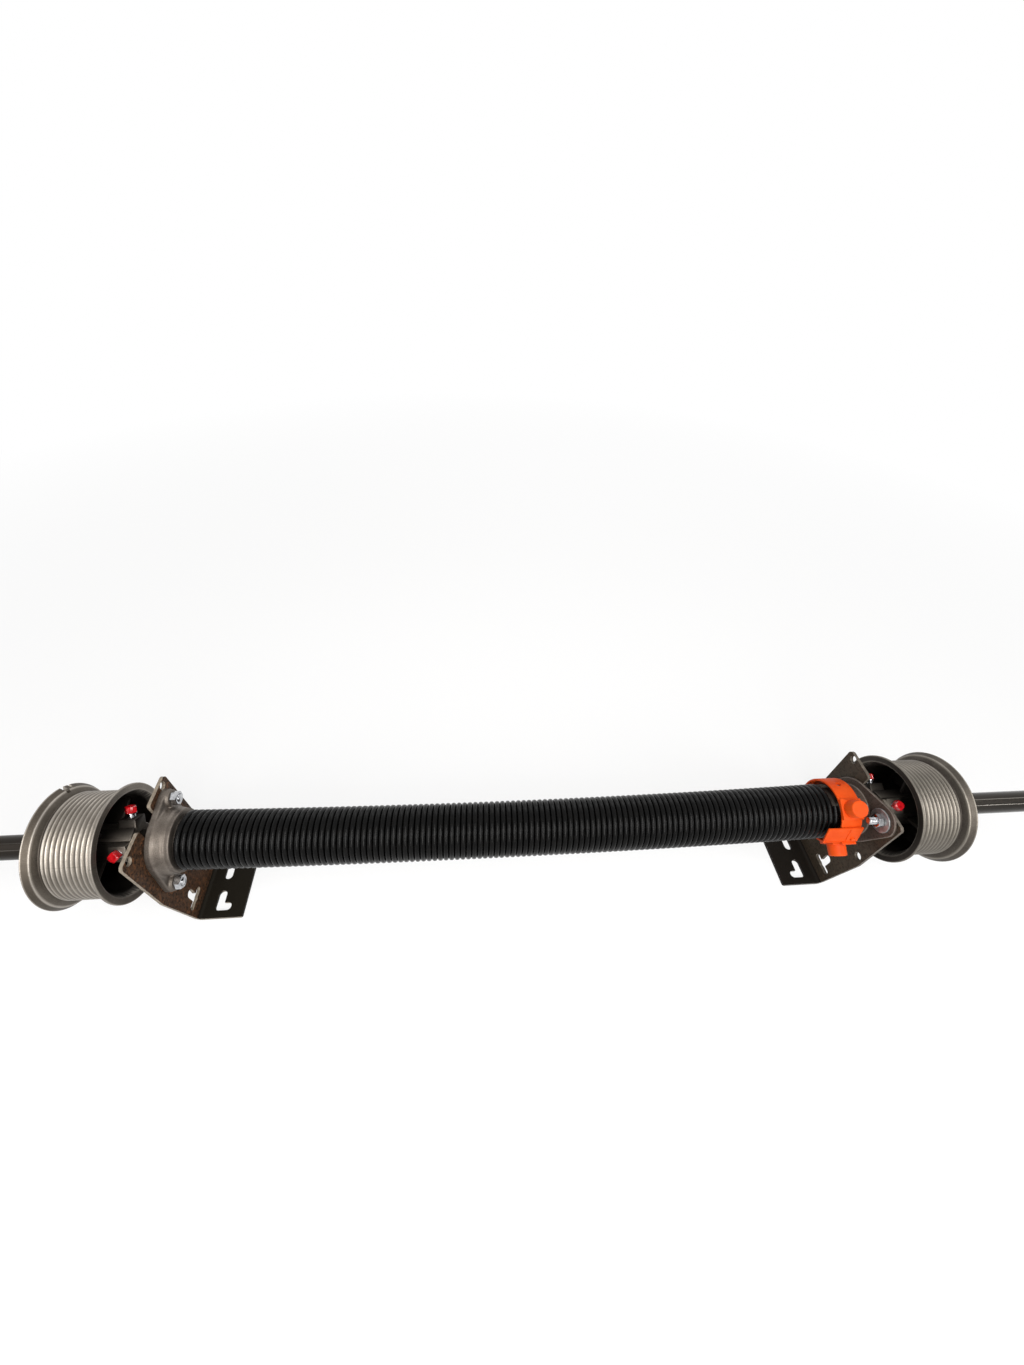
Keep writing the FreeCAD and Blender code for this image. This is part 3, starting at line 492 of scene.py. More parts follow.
def drumSection():
    d = drum
    end = d["start"] + d["count"] * d["pitch"]
    lip = d["width"] - d["lipWidth"]
    web = d["width"] - d["recess"] - d["web"]
    rim = d["barrel"] + d["rimHeight"]
    loop = roundedLoop([
        (-d["overhang"], d["shaftBore"], 0.6), (-d["overhang"], d["hub"], 1.0), (web, d["hub"], 4.0),
        (web, d["bore"], 3.0), (7.0, d["bore"], 2.0), (1.6, d["mouth"] - 1.0, 0), (0.0, d["mouth"], 0.7),
        (0.0, d["mouth"] + 1.6, 0), (0.0, rim - 1.6, 0), (0.0, rim, 0.9),
        (d["rimWidth"], rim, 0.9), (d["start"] - 0.3, d["barrel"] + 0.2, 1.4), (d["start"], d["barrel"], 0),
        (end, d["barrel"], 0), (end + 0.6, d["channel"], 0.5), (lip - d["slope"], d["channel"], 1.5),
        (lip - 0.7, d["lip"] - 2.0, 0), (lip, d["lip"], 0.9), (lip + 1.3, d["lip"] + 0.8, 0),
        (d["width"] - 1.6, d["flange"] - 0.9, 0), (d["width"], d["flange"], 1.0),
        (d["width"], d["flange"] - 3.0, 0), (d["width"], d["barrel"], 0.8),
        (d["width"] - d["recess"], d["barrel"], 0.8), (d["width"] - d["recess"], d["hub"], 1.5),
        (d["width"], d["hub"], 0.8), (d["width"], d["shaftBore"], 0.6),
    ])
    first = loop.index((d["start"], d["barrel"]))
    samples = d["count"] * d["grooveSteps"]
    run = [d["start"] + (end - d["start"]) * i / samples for i in range(1, samples)]

    def sectionAt(angle):
        grooved = []
        for x in run:
            phase = (x - d["start"]) / d["pitch"] - angle / (2 * math.pi)
            fade = min(1.0, (x - d["start"]) / d["pitch"] * d["fade"], (end - x) / d["pitch"] * d["fade"])
            dip = (0.5 - 0.5 * math.cos(2 * math.pi * phase)) ** d["valley"]
            grooved.append((x, d["barrel"] - d["depth"] * dip * fade))
        return loop[:first + 1] + grooved + loop[first + 1:]

    return sectionAt


# Clean on ridges and lips, the lips also with a painted highlight; dull in the channel, on the rim's face and
# on the flange's band; painted shade darkens the groove valleys, the channel and the hollow
def soilAndShadeAt(x, r, side):
    d, s = drum, drumSoilAndShade
    end = d["start"] + d["count"] * d["pitch"]
    lip = d["width"] - d["lipWidth"]
    if r < d["bore"] + 1.2:
        return s["hollow"]
    if x < d["start"] - 0.4:
        onFace = x < 0.5 and d["mouth"] + 1.0 < r < d["barrel"] + d["rimHeight"] - 1.0
        return side["rimSoil"] if onFace else s["rimEdge"]
    if x <= end:
        return s["groove"] * ease(0.1, 0.8, (d["barrel"] - r) / d["depth"])
    if x < lip - 0.4:
        return s["channel"] - s["channelRise"] * ease(d["channel"] + 2.0, d["lip"], r)
    if r < d["channel"]:
        return s["endFace"]
    if lip + 1.0 < x < d["width"] - 1.2:
        return side["bandSoil"]
    return s["lipStep"] if r < d["lip"] - 0.6 else 0.0


# Painted shade in the hollow: deeper is darker, all round the far boss too, while the top of the boss towards
# the light stays pale
def hollowShadeAt(x, r, angle, bosses):
    d, s = drum, drumShade
    hubSkin = d["hub"] + 0.5
    deep = 0.0
    if r < s["wall"] and x < d["width"] - s["face"]:
        deep = ease(*s["coreRun"], x) if r < s["core"] else ease(*s["wallRun"], x)
    if hubSkin < r < s["core"] and abs(angle - min(bosses)) < s["farSpan"]:
        deep = 1.0
    if d["bossReach"] - 1.5 < r < s["core"] and abs(angle - max(bosses)) < s["litSpan"]:
        return deep * s["litShare"]
    return deep * s["hubShare"] if r < hubSkin else deep


def makeDrum(name, node, side, material):
    d = drum
    hand, bosses = side["hand"], side["bosses"]
    place = {"origin": hand * d["station"], "hand": hand}
    web = d["width"] - d["recess"] - d["web"]
    middle = sum(bosses) / 2
    piece = newPiece(name, lathe(drumSection(), d["steps"], **place), material)
    lumps = [radialBlock(-d["overhang"], d["boss"], d["boss"], d["root"], d["bossReach"], angle, 1.0, **place)
             for angle in bosses]
    lumps.append(radialBlock(-d["overhang"], d["overhang"] + web - d["padShort"], d["pad"], d["root"],
                             d["padReach"], middle, 1.2, **place))
    for turn in range(d["ribCount"]):
        lumps.append(radialBlock(web - d["ribLength"], d["ribLength"] + d["sink"], d["rib"], d["ribRoot"],
                                 d["ribReach"], middle + 360 / d["ribCount"] * turn, 1.2, **place))
    for bm in lumps:
        combine(piece, newPiece("lump", bm, material), "UNION")
    for angle, width, depth in side["slots"]:
        bm = radialBlock(d["width"] - d["slotLength"], d["slotLength"] + d["sink"], width,
                         d["flange"] - depth, d["flange"] + d["sink"], angle, 0, **place)
        combine(piece, newPiece("slot", bm, material), "DIFFERENCE")
    soilsAndShades, hollowShades = [], []
    for vertex in piece.data.vertices:
        x = (hand * vertex.co.x) * perMetre - d["station"]
        r = math.hypot(vertex.co.y, vertex.co.z - axisHeight) * perMetre
        angle = math.degrees(math.atan2(-vertex.co.y, vertex.co.z - axisHeight))
        soilsAndShades.append(soilAndShadeAt(x, r, side))
        hollowShades.append(hollowShadeAt(x, r, angle, bosses))
    setMarks(piece.data, "soil", soilsAndShades)
    setMarks(piece.data, "inside", hollowShades)
    shadeSmooth(piece.data, 38)
    handIn(piece, "shaft_group", "drum_aluminium", node)


makeDrum("leftCableDrum", "left_drum", leftDrum, leftCast)
makeDrum("rightCableDrum", "right_drum", rightDrum, rightCast)
print("drums made")


# Geometry Nodes trees with named inputs, each run once and made a plain mesh
def geometryTree(name, inputs):
    tree = bpy.data.node_groups.new(name, "GeometryNodeTree")
    kinds = {float: "NodeSocketFloat", int: "NodeSocketInt", bpy.types.Object: "NodeSocketObject",
             bpy.types.Material: "NodeSocketMaterial"}
    items = {key: tree.interface.new_socket(name=key, in_out="INPUT", socket_type=kinds[type(value)])
             for key, value in inputs.items()}
    tree.interface.new_socket(name="Geometry", in_out="OUTPUT", socket_type="NodeSocketGeometry")
    net = Net(tree)
    source = tree.nodes.new("NodeGroupInput")
    given = {key: Link(net, source.outputs[key]) for key in inputs}
    return net, given, items


def closeTree(net, geometry):
    out = net.tree.nodes.new("NodeGroupOutput")
    net.tree.links.new(geometry.socket, out.inputs[0])


def runTree(name, net, items, inputs):
    piece = bpy.data.objects.new(name, bpy.data.meshes.new(name))
    bpy.context.scene.collection.objects.link(piece)
    modifier = piece.modifiers.new("grow", "NODES")
    modifier.node_group = net.tree
    for key, item in items.items():
        modifier[item.identifier] = inputs[key]
    return applied(piece)


# Spring: one left-handed helix of wire, in metres, which sags a little between the cones
spring = {
    "turns": 115.45, "coilRadius": 0.0282, "wireRadius": 0.00316, "firstX": -0.36753, "length": 0.71674,
    "axisHeight": axisHeight, "sag": 0.0095, "phase": math.radians(20.0), "stepsPerTurn": 44, "sides": 16,
}


def makeSpring():
    inputs = dict(spring, material=springBlack)
    net, given, items = geometryTree("springCoil", inputs)
    spiral = net.add("GeometryNodeCurveSpiral", {}, {
        "Resolution": given["stepsPerTurn"], "Rotations": given["turns"], "Start Radius": given["coilRadius"],
        "End Radius": given["coilRadius"], "Height": given["length"]})
    along = net.axes(net.add("GeometryNodeInputPosition", {}, {}))[2]
    share = along / given["length"]
    angle = given["phase"] + (1.0 - share) * given["turns"] * (2 * math.pi)
    drop = share * (1.0 - share) * 4.0 * given["sag"]  # a parabola, with the whole sag in the middle
    point = net.point(along + given["firstX"], -(angle.sine() * given["coilRadius"]),
                      angle.cosine() * given["coilRadius"] + given["axisHeight"] - drop)
    helix = net.add("GeometryNodeSetPosition", {}, {"Geometry": spiral, "Position": point})
    ring = net.add("GeometryNodeCurvePrimitiveCircle", {"mode": "RADIUS"},
                   {"Resolution": given["sides"], "Radius": given["wireRadius"]})
    wire = net.add("GeometryNodeCurveToMesh", {}, {"Curve": helix, "Profile Curve": ring, "Fill Caps": True})
    smooth = net.add("GeometryNodeSetShadeSmooth", {}, {"Geometry": wire})
    whole = net.add("GeometryNodeRealizeInstances", {}, {"Geometry": smooth})
    closeTree(net, net.add("GeometryNodeSetMaterial", {}, {"Geometry": whole, "Material": given["material"]}))
    piece = runTree("springCoil", net, items, inputs)
    piece.data.set_sharp_from_angle(angle=math.radians(60))
    handIn(piece, "left_mount", "spring_black", "torsion_spring")


makeSpring()
print("spring made")


# Shaft with its keyway, in metres, and the keys: the bevel is in millimetres
shaft = {"radius": 0.0127, "half": 0.635, "chamfer": 0.0012, "keyWidth": 0.00635, "keyDepth": 0.0032,
         "keyAngle": math.radians(25.0), "steps": 72, "bays": 12, "bevel": 0.4, "lipWear": 0.8}


def makeShaft():
    s = shaft
    keyHalf = s["keyWidth"] / 2
    half = math.asin(keyHalf / s["radius"])
    ring = []
    for step in range(s["steps"] + 1):
        angle = half + (2 * math.pi - 2 * half) * step / s["steps"]
        ring.append((s["radius"] * math.sin(angle), s["radius"] * math.cos(angle)))
    floor = s["radius"] - s["keyDepth"]
    ring += [(-keyHalf, floor), (keyHalf, floor)]
    bm = bmesh.new()
    tip = 1 - s["chamfer"] / s["radius"]
    stations = [(-s["half"], tip), (-s["half"] + s["chamfer"], 1.0)]
    stations += [(-s["half"] + s["half"] * 2 * i / s["bays"], 1.0) for i in range(1, s["bays"])]
    stations += [(s["half"] - s["chamfer"], 1.0), (s["half"], tip)]
    rows = []
    for x, shrink in stations:
        rows.append([bm.verts.new((x, -across * shrink, up * shrink)) for across, up in ring])
    count = len(ring)
    for first, second in zip(rows, rows[1:]):
        for j in range(count):
            k = (j + 1) % count
            bm.faces.new((first[j], first[k], second[k], second[j]))
    bm.faces.new(rows[0])
    bm.faces.new(rows[-1])

    def byLip(vertex, gap, low):
        return abs(abs(vertex.co.y) - keyHalf) < gap and vertex.co.z > s["radius"] * low

    lips = [edge for edge in bm.edges if all(byLip(vertex, 1e-4, 0.9) for vertex in edge.verts)
            and abs(edge.verts[0].co.x - edge.verts[1].co.x) > 0.01]
    bevelEdges(bm, lips, s["bevel"])
    bright = bm.verts.layers.float.new("bright")
    for vertex in bm.verts:
        vertex[bright] = s["lipWear"] if byLip(vertex, 5e-4, 0.92) else 0.0
    turn = Matrix.Translation((0, 0, axisHeight)) @ Matrix.Rotation(s["keyAngle"], 4, "X")
    bmesh.ops.transform(bm, matrix=turn, verts=bm.verts)
    handIn(newPiece("keyedShaft", bm, shaftSteel, 30), "shaft_group", "shaft_steel", "shaft")


def makeKey(name, node):
    bm = mergedCopy(node)
    bevelEdges(bm, sharpEdges(bm, 32), shaft["bevel"])
    handIn(weighNormals(newPiece(name, bm, shaftSteel, 50)), "shaft_group", "shaft_steel", node)


makeShaft()
makeKey("leftDrumKey", "left_drum_key")
makeKey("rightDrumKey", "right_drum_key")
makeKey("windingConeKey", "winding_cone_key")
print("shaft made")


# Folded brackets: bare cut edges show brighter than the rolled faces, and the foot darker
bracket = {"prongTop": 174.0, "notch": 13.5, "prongCorner": 3.0, "cornerSteps": 5, "arris": 0.5,
           "footTop": 12.0}


def makeBracket(name, node, body, slot, sideWear, material):
    b = bracket
    bm = mergedCopy(node)
    corners = [edge for edge in bm.edges if all(
        abs(abs(v.co.y) * perMetre - b["notch"]) < 0.4 and abs(v.co.z * perMetre - b["prongTop"]) < 0.6
        for v in edge.verts) and abs(edge.verts[0].co.x - edge.verts[1].co.x) > 0.002]
    bevelEdges(bm, corners, b["prongCorner"], b["cornerSteps"])
    cut = bm.faces.layers.float.new("cut")
    foot = bm.faces.layers.float.new("foot")
    bm.normal_update()
    for face in bm.faces:
        onFoot = face.calc_center_median().z < b["footTop"] * mm
        rolled = abs(face.normal.x) > 0.5 or (abs(face.normal.z) > 0.5 and onFoot)
        face[cut] = 0.0 if rolled else sideWear
        face[foot] = 1.0 if onFoot else 0.0
    # Painted highlight: the bevelled arris strips take the whole bright edge tone
    for face in bevelEdges(bm, sharpEdges(bm, 40), b["arris"]):
        face[cut] = 1.0
    handIn(weighNormals(newPiece(name, bm, material, 50)), body, slot, node)


makeBracket("leftBracketPlate", "left_bracket", "left_mount", "plate_brown", 0.85, brownPlate)
makeBracket("rightBracketPlate", "right_bracket", "right_mount", "plate_dark", 0.16, darkPlate)
print("brackets made")


# Bolts, nuts, washers, screws and balls stand in rings: one pattern of each, set round the shaft by nodes.
# A land is the flat of a hexagon or square inside its chamfer, as a share of the width.
fastener = {"bolt": 3.97, "hex": 13.5, "head": 5.4, "land": 0.95, "chamfer": 0.577, "plate": 3.5,
            "threadPitch": 1.41, "threadDepth": 0.55, "threadSteps": 6, "reach": 45.5, "washer": 13.5,
            "washerThickness": 2.0, "washerSteps": 48, "steps": 36}
conePack = {"angle": -45.0, "threadStart": 9.0, "nutStart": 10.0, "nutEnd": 16.7, "tip": 18.3}
flangePack = {"angle": 45.0, "washerStart": 3.0, "threadStart": 4.0, "nutStart": 5.0, "nutEnd": 10.2,
              "tip": 18.7}

# A screw's lift is how far it stands out of its seat, and its step how much further the next one stands
setScrew = {"foot": 15.3, "seat": 28.5, "shank": 3.95, "point": 2.4, "pointLength": 3.2, "collar": 5.3,
            "head": 9.0, "headHeight": 7.0, "land": 0.93, "corner": 5.95, "steps": 40,
            "drumStation": -1.5, "drumLift": 0.6, "drumStep": 4.4,
            "coneStation": 366.48, "coneLift": -2.5, "coneAngle": 73.0}
bearing = {"ball": 3.7, "ballCircle": 19.575, "ballCount": 9, "ballTurn": 40.0, "middle": 5.55}


def flatReach(angle, width, sides):
    step = 2 * math.pi / sides
    return width / 2 / math.cos((angle + step / 2) % step - step / 2)


def threadRun(start, end, radius, angle, hand):
    f = fastener
    points = []
    count = int((end - start) / f["threadPitch"] * f["threadSteps"])
    for i in range(count + 1):
        x = start + (end - start) * i / count
        phase = (x / f["threadPitch"] - hand * angle / (2 * math.pi)) % 1.0
        points.append((x, radius - f["threadDepth"] * abs(2 * phase - 1)))
    return points


def boltPattern(threadStart, tip, hand):
    f = fastener
    face = -f["plate"] - f["head"]
    land = f["land"] * f["hex"] / 2

    def sectionAt(angle):
        reach = flatReach(angle, f["hex"], 6)
        loop = [(face, 0.0), (face, land), (face + (reach - land) * f["chamfer"], reach), (-f["plate"], reach),
                (-f["plate"], f["bolt"]), (threadStart - 0.4, f["bolt"])]
        loop += threadRun(threadStart, tip - 0.7, f["bolt"], angle, hand)
        return loop + [(tip - 0.3, f["bolt"] - 0.8), (tip, f["bolt"] - 1.8), (tip, 0.0)]

    return newPiece("boltPattern", lathe(sectionAt, f["steps"], 0.0, hand, 0.0), brightZinc, 28)


def nutPattern(start, end, hand):
    f = fastener
    land = f["land"] * f["hex"] / 2
    bore = f["bolt"] + 0.06

    def sectionAt(angle):
        reach = flatReach(angle, f["hex"], 6)
        fall = (reach - land) * f["chamfer"]
        return [(start, bore + 0.6), (start, land), (start + fall, reach), (end - fall, reach), (end, land),
                (end, bore + 0.8), (end - 0.8, bore), (start + 0.6, bore)]

    return newPiece("nutPattern", lathe(sectionAt, f["steps"], 0.0, hand, 0.0), brightZinc, 28)


def washerPattern(start, hand):
    f = fastener
    end = start + f["washerThickness"]
    bore = f["bolt"] + 0.3
    loop = roundedLoop([(start, bore, 0), (start, f["washer"], 0.5), (end, f["washer"], 0.5),
                        (end, bore, 0.2)], 3)
    return newPiece("washerPattern", lathe(lambda angle: loop, f["washerSteps"], 0.0, hand, 0.0), dullZinc)


def screwPattern():
    s = setScrew
    foot, seat, collar = s["foot"], s["seat"], s["collar"]
    top = seat + s["headHeight"]
    land = s["land"] * s["head"] / 2
    thread = foot + s["pointLength"]

    def sectionAt(angle):
        reach = min(flatReach(angle + math.pi / 4, s["head"], 4), s["corner"])
        loop = [(foot, 0.0), (foot, s["point"]), (thread, s["shank"] - 0.3)]
        loop += threadRun(thread + 0.4, seat - 1.6, s["shank"], angle, 1)
        loop += [(seat - 1.4, s["shank"]), (seat - 1.2, collar - 0.4), (seat - 0.9, collar),
                 (seat - 0.2, collar), (seat, collar - 0.7), (seat, reach - 0.5), (seat + 0.5, reach)]
        return loop + [(top - (reach - land) * 0.5 - 0.3, reach),
                       (top - (reach - land) * 0.3, (reach + land) / 2),
                       (top, land - 0.3), (top, 1.8), (top - 0.5, 0.0)]

    bm = lathe(sectionAt, s["steps"], height=0.0)
    painted = bm.faces.layers.float.new("painted")
    for face in bm.faces:
        face[painted] = 1.0 if face.calc_center_median().x * perMetre > seat + 0.05 else 0.0
    bmesh.ops.transform(bm, matrix=Matrix.Rotation(math.radians(-90.0), 4, "Y"), verts=bm.verts)
    return newPiece("screwPattern", bm, brightZinc, 30)


def ballPattern():
    bm = bmesh.new()
    bmesh.ops.create_uvsphere(bm, u_segments=20, v_segments=12, radius=bearing["ball"] * mm)
    return newPiece("ballPattern", bm, raceSteel, 180)


def fastenerRing(inputs):
    net, given, items = geometryTree("fastenerRing", inputs)
    index = net.add("GeometryNodeInputIndex", {}, {})
    angle = given["firstAngle"] + index * given["turnStep"]
    reach = given["reach"] + index * given["reachStep"]
    where = net.point(given["station"], -(reach * angle.sine()), given["axisHeight"] + reach * angle.cosine())
    points = net.add("GeometryNodePoints", {}, {"Count": given["count"], "Position": where})
    pattern = net.add("GeometryNodeObjectInfo", {"transform_space": "ORIGINAL"}, {"Object": given["pattern"]},
                      "Geometry")
    placed = net.add("GeometryNodeInstanceOnPoints", {}, {"Points": points, "Instance": pattern,
                                                          "Rotation": net.point(angle, 0.0, 0.0)})
    whole = net.add("GeometryNodeRealizeInstances", {}, {"Geometry": placed})
    plated = net.add("GeometryNodeSetMaterial", {}, {"Geometry": whole, "Material": given["plating"]})
    painted = net.add("GeometryNodeInputNamedAttribute", {"data_type": "FLOAT"}, {"Name": "painted"},
                      "Attribute")
    closeTree(net, net.add("GeometryNodeSetMaterial", {}, {"Geometry": plated, "Selection": painted,
                                                           "Material": given["paint"]}))
    return net, items


def placeRing(name, pattern, station, reach, firstAngle, turnStep, plating, count=2, reachStep=0.0,
              paint=None):
    inputs = {"pattern": pattern, "count": count, "reach": reach * mm, "reachStep": reachStep * mm,
              "firstAngle": math.radians(firstAngle), "turnStep": math.radians(turnStep),
              "station": station * mm, "axisHeight": axisHeight, "plating": plating,
              "paint": paint or plating}
    net, items = fastenerRing(inputs)
    return runTree(name, net, items, inputs)


def makeFasteners():
    reach = fastener["reach"]
    s, b = setScrew, bearing
    patterns = {
        "coneBolt": boltPattern(conePack["threadStart"], conePack["tip"], 1),
        "coneNut": nutPattern(conePack["nutStart"], conePack["nutEnd"], 1),
        "flangeBolt": boltPattern(flangePack["threadStart"], flangePack["tip"], -1),
        "flangeNut": nutPattern(flangePack["nutStart"], flangePack["nutEnd"], -1),
        "washer": washerPattern(flangePack["washerStart"], -1),
        "screw": screwPattern(),
        "ball": ballPattern(),
    }
    for name, pattern, node in (("coneBolts", "coneBolt", "cone_bolts"),
                                ("coneNuts", "coneNut", "cone_nuts")):
        ring = placeRing(name, patterns[pattern], -bracketFace, reach, conePack["angle"], 180.0, brightZinc)
        handIn(ring, "left_mount", "zinc", node)
    for name, pattern, node, plating in (("flangeBolts", "flangeBolt", "flange_bolts", brightZinc),
                                         ("flangeNuts", "flangeNut", "flange_nuts", brightZinc),
                                         ("flangeWashers", "washer", "flange_washers", dullZinc)):
        ring = placeRing(name, patterns[pattern], bracketFace, reach, flangePack["angle"], 180.0, plating)
        handIn(ring, "right_mount", "zinc", node)
    drumScrew = drum["station"] + s["drumStation"]
    for name, node, station, lift, first, step in (
            ("leftDrumScrews", "left_drum_set_screws", -drumScrew, s["drumLift"], max(leftDrum["bosses"]),
             s["drumStep"]),
            ("rightDrumScrews", "right_drum_set_screws", drumScrew, s["drumLift"], max(rightDrum["bosses"]),
             s["drumStep"]),
            ("windingConeScrews", "winding_cone_set_screws", s["coneStation"], s["coneLift"], s["coneAngle"],
             0.0)):
        ring = placeRing(name, patterns["screw"], station, lift, first, -90.0, brightZinc, reachStep=step,
                         paint=screwRed)
        handIn(ring, "shaft_group", "screw_red", node)
    for name, node, side, body in (("coneBalls", "cone_bearing_balls", -1, "left_mount"),
                                   ("flangeBalls", "flange_bearing_balls", 1, "right_mount")):
        ring = placeRing(name, patterns["ball"], side * (bracketFace - b["middle"]), b["ballCircle"], 0.0,
                         b["ballTurn"], raceSteel, count=b["ballCount"])
        handIn(ring, body, "race_steel", node)
    for pattern in patterns.values():
        bpy.data.meshes.remove(pattern.data)


makeFasteners()
print("fasteners made")


# Bearing races, with rounded corners: each ring is its two radii
races = {"width": 11.0, "gap": 0.05, "outer": (23.4, 26.0), "inner": (12.75, 15.75), "steps": 96}


def makeRace(name, node, ring, side, body):
    low, high = races[ring]
    start, end = races["gap"], races["gap"] + races["width"]
    loop = roundedLoop([(start, low, 0.5), (end, low, 0.5), (end, high, 0.7), (start, high, 0.7)], 3)
    bm = lathe(lambda angle: loop, races["steps"], side * bracketFace, -side)
    handIn(newPiece(name, bm, raceSteel), body, "race_steel", node)


makeRace("coneOuterRace", "cone_bearing_outer_race", "outer", -1, "left_mount")
makeRace("coneInnerRace", "cone_bearing_inner_race", "inner", -1, "shaft_group")
makeRace("flangeOuterRace", "flange_bearing_outer_race", "outer", 1, "right_mount")
makeRace("flangeInnerRace", "flange_bearing_inner_race", "inner", 1, "shaft_group")
print("races made")


# Castings and the pressed flange run from form to form without a sharp join, and bends may take a painted
# highlight
def makeCasting(name, node, body, slot, voxel, rounds, material, bendHighlight=0.0):
    piece = blended(newPiece(name, mergedCopy(node), material), voxel, rounds)
    if bendHighlight:
        slants = [abs(vertex.normal.x) for vertex in piece.data.vertices]
        bends = [ease(0.30, 0.55, slant) * ease(0.97, 0.80, slant) for slant in slants]
        setMarks(piece.data, "cut", [bendHighlight * bend for bend in bends])
    handIn(piece, body, slot, node)


makeCasting("anchorCone", "stationary_cone", "left_mount", "cone_aluminium", 0.9, 2, coneCast)
makeCasting("windingConeCast", "winding_cone", "shaft_group", "cone_aluminium", 1.2, 3, windingCast)
makeCasting("bearingFlangePressing", "bearing_flange", "right_mount", "plate_dark", 0.8, 4, pressedSteel,
            bendHighlight=0.45)
print("castings made")


# Moulded cover: band with two flat pads, a knob and a plug on each, a tag, a clasp, a peg and a vent
cover = {
    "station": 352.48, "start": -2.5, "width": 24.0, "bore": 34.9, "wall": 2.3, "steps": 120, "root": 35.4,
    "angle": 28.0, "padWidth": 23.0, "padRoot": 35.3, "padReach": 38.6,
    "knobStation": 9.2, "knob": 9.5, "knobRoot": 35.6, "knobReach": 52.0, "knobDraft": 0.5, "knobSteps": 56,
    "plug": 6.25, "plugFloor": 18.15, "plugTop": 37.0,
    "tagAngle": 75.0, "tagStart": -19.5, "tagLength": 41.5, "tagWidth": 22.0, "tagRoot": 36.8,
    "tagTop": 39.1, "tagRim": 1.3, "panelLength": 25.5, "panelDepth": 0.6, "panelTop": 45.0,
    "claspAngle": 92.0, "claspStart": 3.5, "claspLength": 16.8, "claspWidth": 2.6, "claspReach": 43.0,
    "pegAngle": 83.5, "pegStation": 14.3, "peg": 2.5, "pegReach": 41.5,
    "ventAngle": -22.0, "ventStation": 9.5, "vent": 2.8, "ventFloor": 32.0, "ventTop": 42.0,
}


def makeCover():
    c = cover
    origin = c["station"]
    end = c["start"] + c["width"]
    skin = c["bore"] + c["wall"]
    loop = roundedLoop([(c["start"], c["bore"], 0.5), (end, c["bore"], 0.5), (end, skin, 0.8),
                        (c["start"], skin, 0.8)], 3)
    piece = newPiece("coverMoulding", lathe(lambda angle: loop, c["steps"], origin), coverOrange)
    lumps = []
    for angle in (c["angle"], c["angle"] + 90):
        knobX = origin + c["knobStation"]
        lumps.append(radialBlock(c["start"], c["width"], c["padWidth"], c["padRoot"], c["padReach"], angle,
                                 0.7, origin))
        lumps.append(radialRod(knobX, c["knob"], c["knobRoot"], c["knobReach"], angle, 1.5, c["knobDraft"],
                               c["knobSteps"]))
        lumps.append(radialRod(knobX, c["plug"], c["plugFloor"], c["plugTop"], angle, 0.3))
    lumps.append(radialBlock(c["tagStart"], c["tagLength"], c["tagWidth"], c["tagRoot"], c["tagTop"],
                             c["tagAngle"], 0.6, origin))
    lumps.append(radialBlock(c["claspStart"], c["claspLength"], c["claspWidth"], c["root"], c["claspReach"],
                             c["claspAngle"], 0.7, origin))
    lumps.append(radialRod(origin + c["pegStation"], c["peg"], c["root"], c["pegReach"], c["pegAngle"], 0.8))
    for bm in lumps:
        combine(piece, newPiece("lump", bm, coverOrange), "UNION")
    panel = radialBlock(c["tagStart"] + c["tagRim"], c["panelLength"], c["tagWidth"] - 2 * c["tagRim"],
                        c["tagTop"] - c["panelDepth"], c["panelTop"], c["tagAngle"], 0, origin)
    vent = radialRod(origin + c["ventStation"], c["vent"], c["ventFloor"], c["ventTop"], c["ventAngle"], 0)
    for bm in (panel, vent):
        combine(piece, newPiece("hollow", bm, coverOrange), "DIFFERENCE")
    shadeSmooth(piece.data, 35)
    handIn(piece, "shaft_group", "cover_orange", "winding_cone_cover")


makeCover()
print("cover made")


# Floor, light and camera, in metres: the floor is white where it is seen or mirrored, greyer to bounced
# light, and glows more with the distance so that it runs into the background
stage = {"half": 14.0, "drop": 0.0003, "bounceTone": (0.38, 0.38, 0.38), "shownTone": (0.97, 0.97, 0.97),
         "fadeSpan": 4.0, "fade": ((0.18, 0.76), (0.45, 1.0)), "roomLight": 0.26, "aim": (0.0, 0.0, 0.1)}
lamps = {
    "keyLight": {"place": (0.0, -1.0, 1.3), "size": (0.6, 1.8), "power": 31.0, "tint": (1.0, 0.985, 0.96)},
    "leftLight": {"place": (-1.65, -0.95, 1.3), "size": (0.45, 0.8), "power": 6.5},
    "rightLight": {"place": (1.75, -0.95, 1.3), "size": (0.45, 0.8), "power": 9.0},
    "backLight": {"place": (0.3, 1.5, 1.0), "size": (1.6, 0.6), "power": 5.0},
}

# The lens and its sensor are in millimetres
camera = {"lens": 13.53, "sensor": 36.0, "clip": 0.01, "place": (-0.0629, -0.2761, 0.6613),
          "right": (0.9963, -0.0731, 0.0450), "up": (0.0229, 0.7318, 0.6812),
          "back": (-0.0827, -0.6776, 0.7307)}


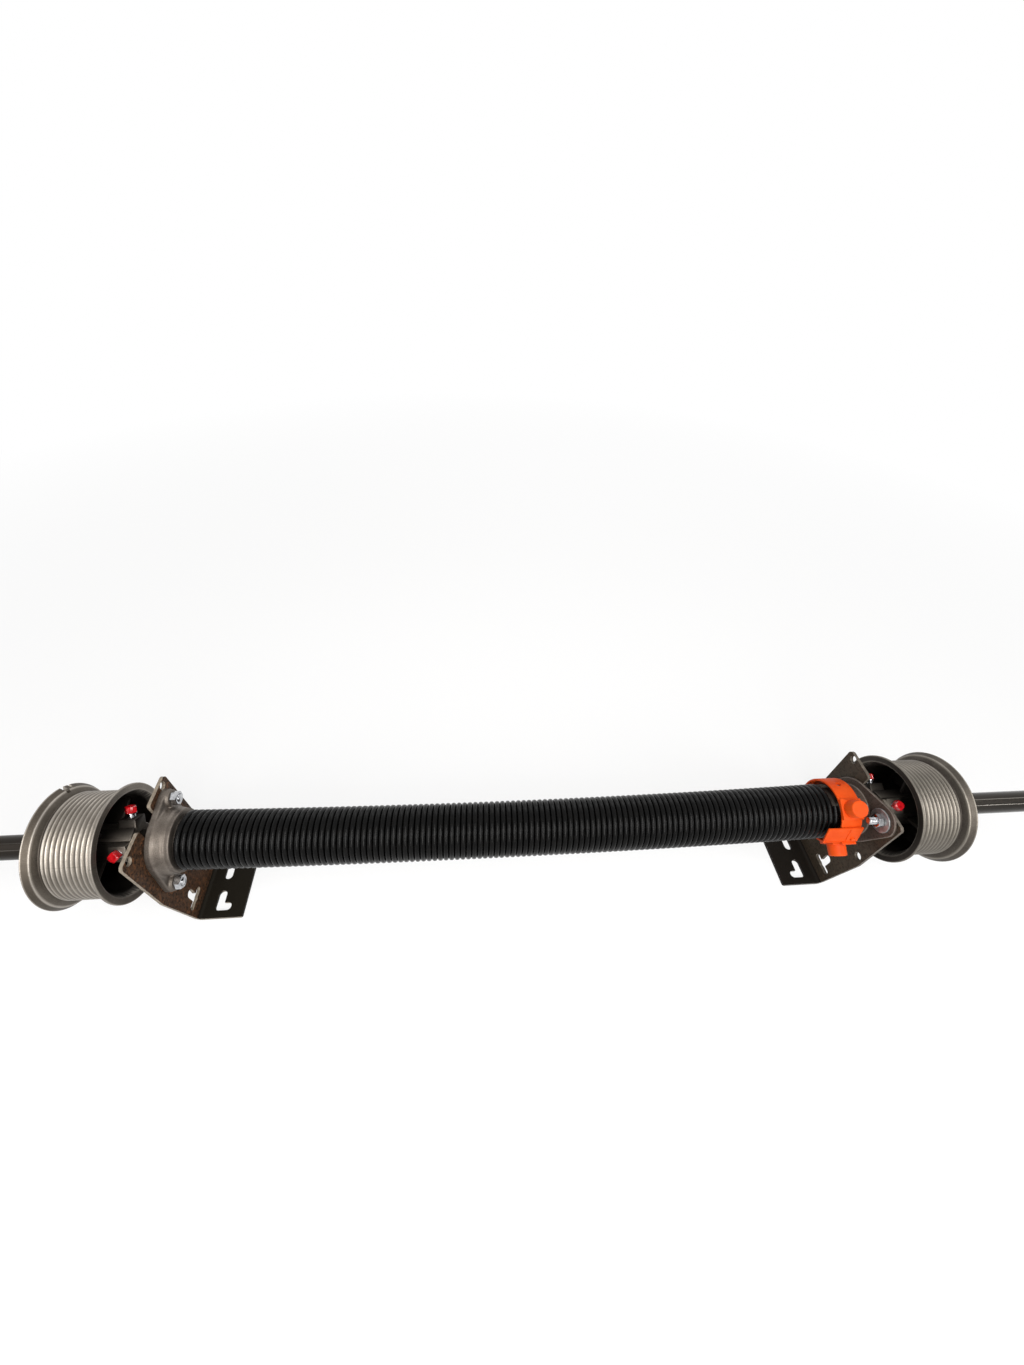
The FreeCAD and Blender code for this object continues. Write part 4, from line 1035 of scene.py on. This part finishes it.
def makeFloor():
    bm = bmesh.new()
    bmesh.ops.create_grid(bm, x_segments=1, y_segments=1, size=stage["half"])
    bmesh.ops.translate(bm, vec=(0, 0, -stage["drop"]), verts=bm.verts)
    paper = Finish("floorPaper")
    shown = paper.shownRays()
    paper.surface(Base_Color=paper.mix(shown, stage["bounceTone"], stage["shownTone"]), Roughness=0.8)
    away = paper.add("ShaderNodeVectorMath", {"operation": "LENGTH"}, {0: paper.place}, "Value")
    far = paper.ramp(away / stage["fadeSpan"], *stage["fade"])
    glow = paper.add("ShaderNodeEmission", {}, {"Color": (1.0, 1.0, 1.0), "Strength": 1.0})
    lit = Link(paper, paper.shader.outputs[0])
    sheet = paper.add("ShaderNodeMixShader", {}, {0: shown * far, 1: lit, 2: glow})
    paper.feed(paper.tree.nodes["Material Output"].inputs["Surface"], sheet)
    newPiece("floor", bm, paper.material)


def makeLight(name, place, size, power, tint=(1.0, 1.0, 1.0)):
    lamp = bpy.data.lights.new(name, "AREA")
    lamp.shape = "RECTANGLE"
    lamp.size, lamp.size_y = size
    lamp.energy = power
    lamp.color = tint
    holder = bpy.data.objects.new(name, lamp)
    bpy.context.scene.collection.objects.link(holder)
    aim = Vector(stage["aim"]) - Vector(place)
    holder.matrix_world = Matrix.Translation(place) @ aim.to_track_quat("-Z", "Y").to_matrix().to_4x4()


# White where it is seen, mirrored or seen through, and a low level of light for the rest
def makeWorld():
    world = bpy.data.worlds.new("studio")
    bpy.context.scene.world = world
    world.use_nodes = True
    net = Net(world.node_tree)
    shown = net.shownRays()
    back = world.node_tree.nodes["Background"]
    net.feed(back.inputs["Color"], (1.0, 1.0, 1.0))
    net.feed(back.inputs["Strength"], shown + (1.0 - shown) * stage["roomLight"])


def makeCamera():
    lens = bpy.data.cameras.new("photoCamera")
    lens.lens = camera["lens"]
    lens.sensor_width = camera["sensor"]
    lens.clip_start = camera["clip"]
    holder = bpy.data.objects.new("photoCamera", lens)
    bpy.context.scene.collection.objects.link(holder)
    turn = Matrix((camera["right"], camera["up"], camera["back"])).transposed().to_4x4()
    holder.matrix_world = Matrix.Translation(camera["place"]) @ turn
    bpy.context.scene.camera = holder


makeFloor()
for name, lamp in lamps.items():
    makeLight(name, **lamp)
makeWorld()
makeCamera()
bpy.context.scene.view_settings.view_transform = "Standard"
print("stage made")
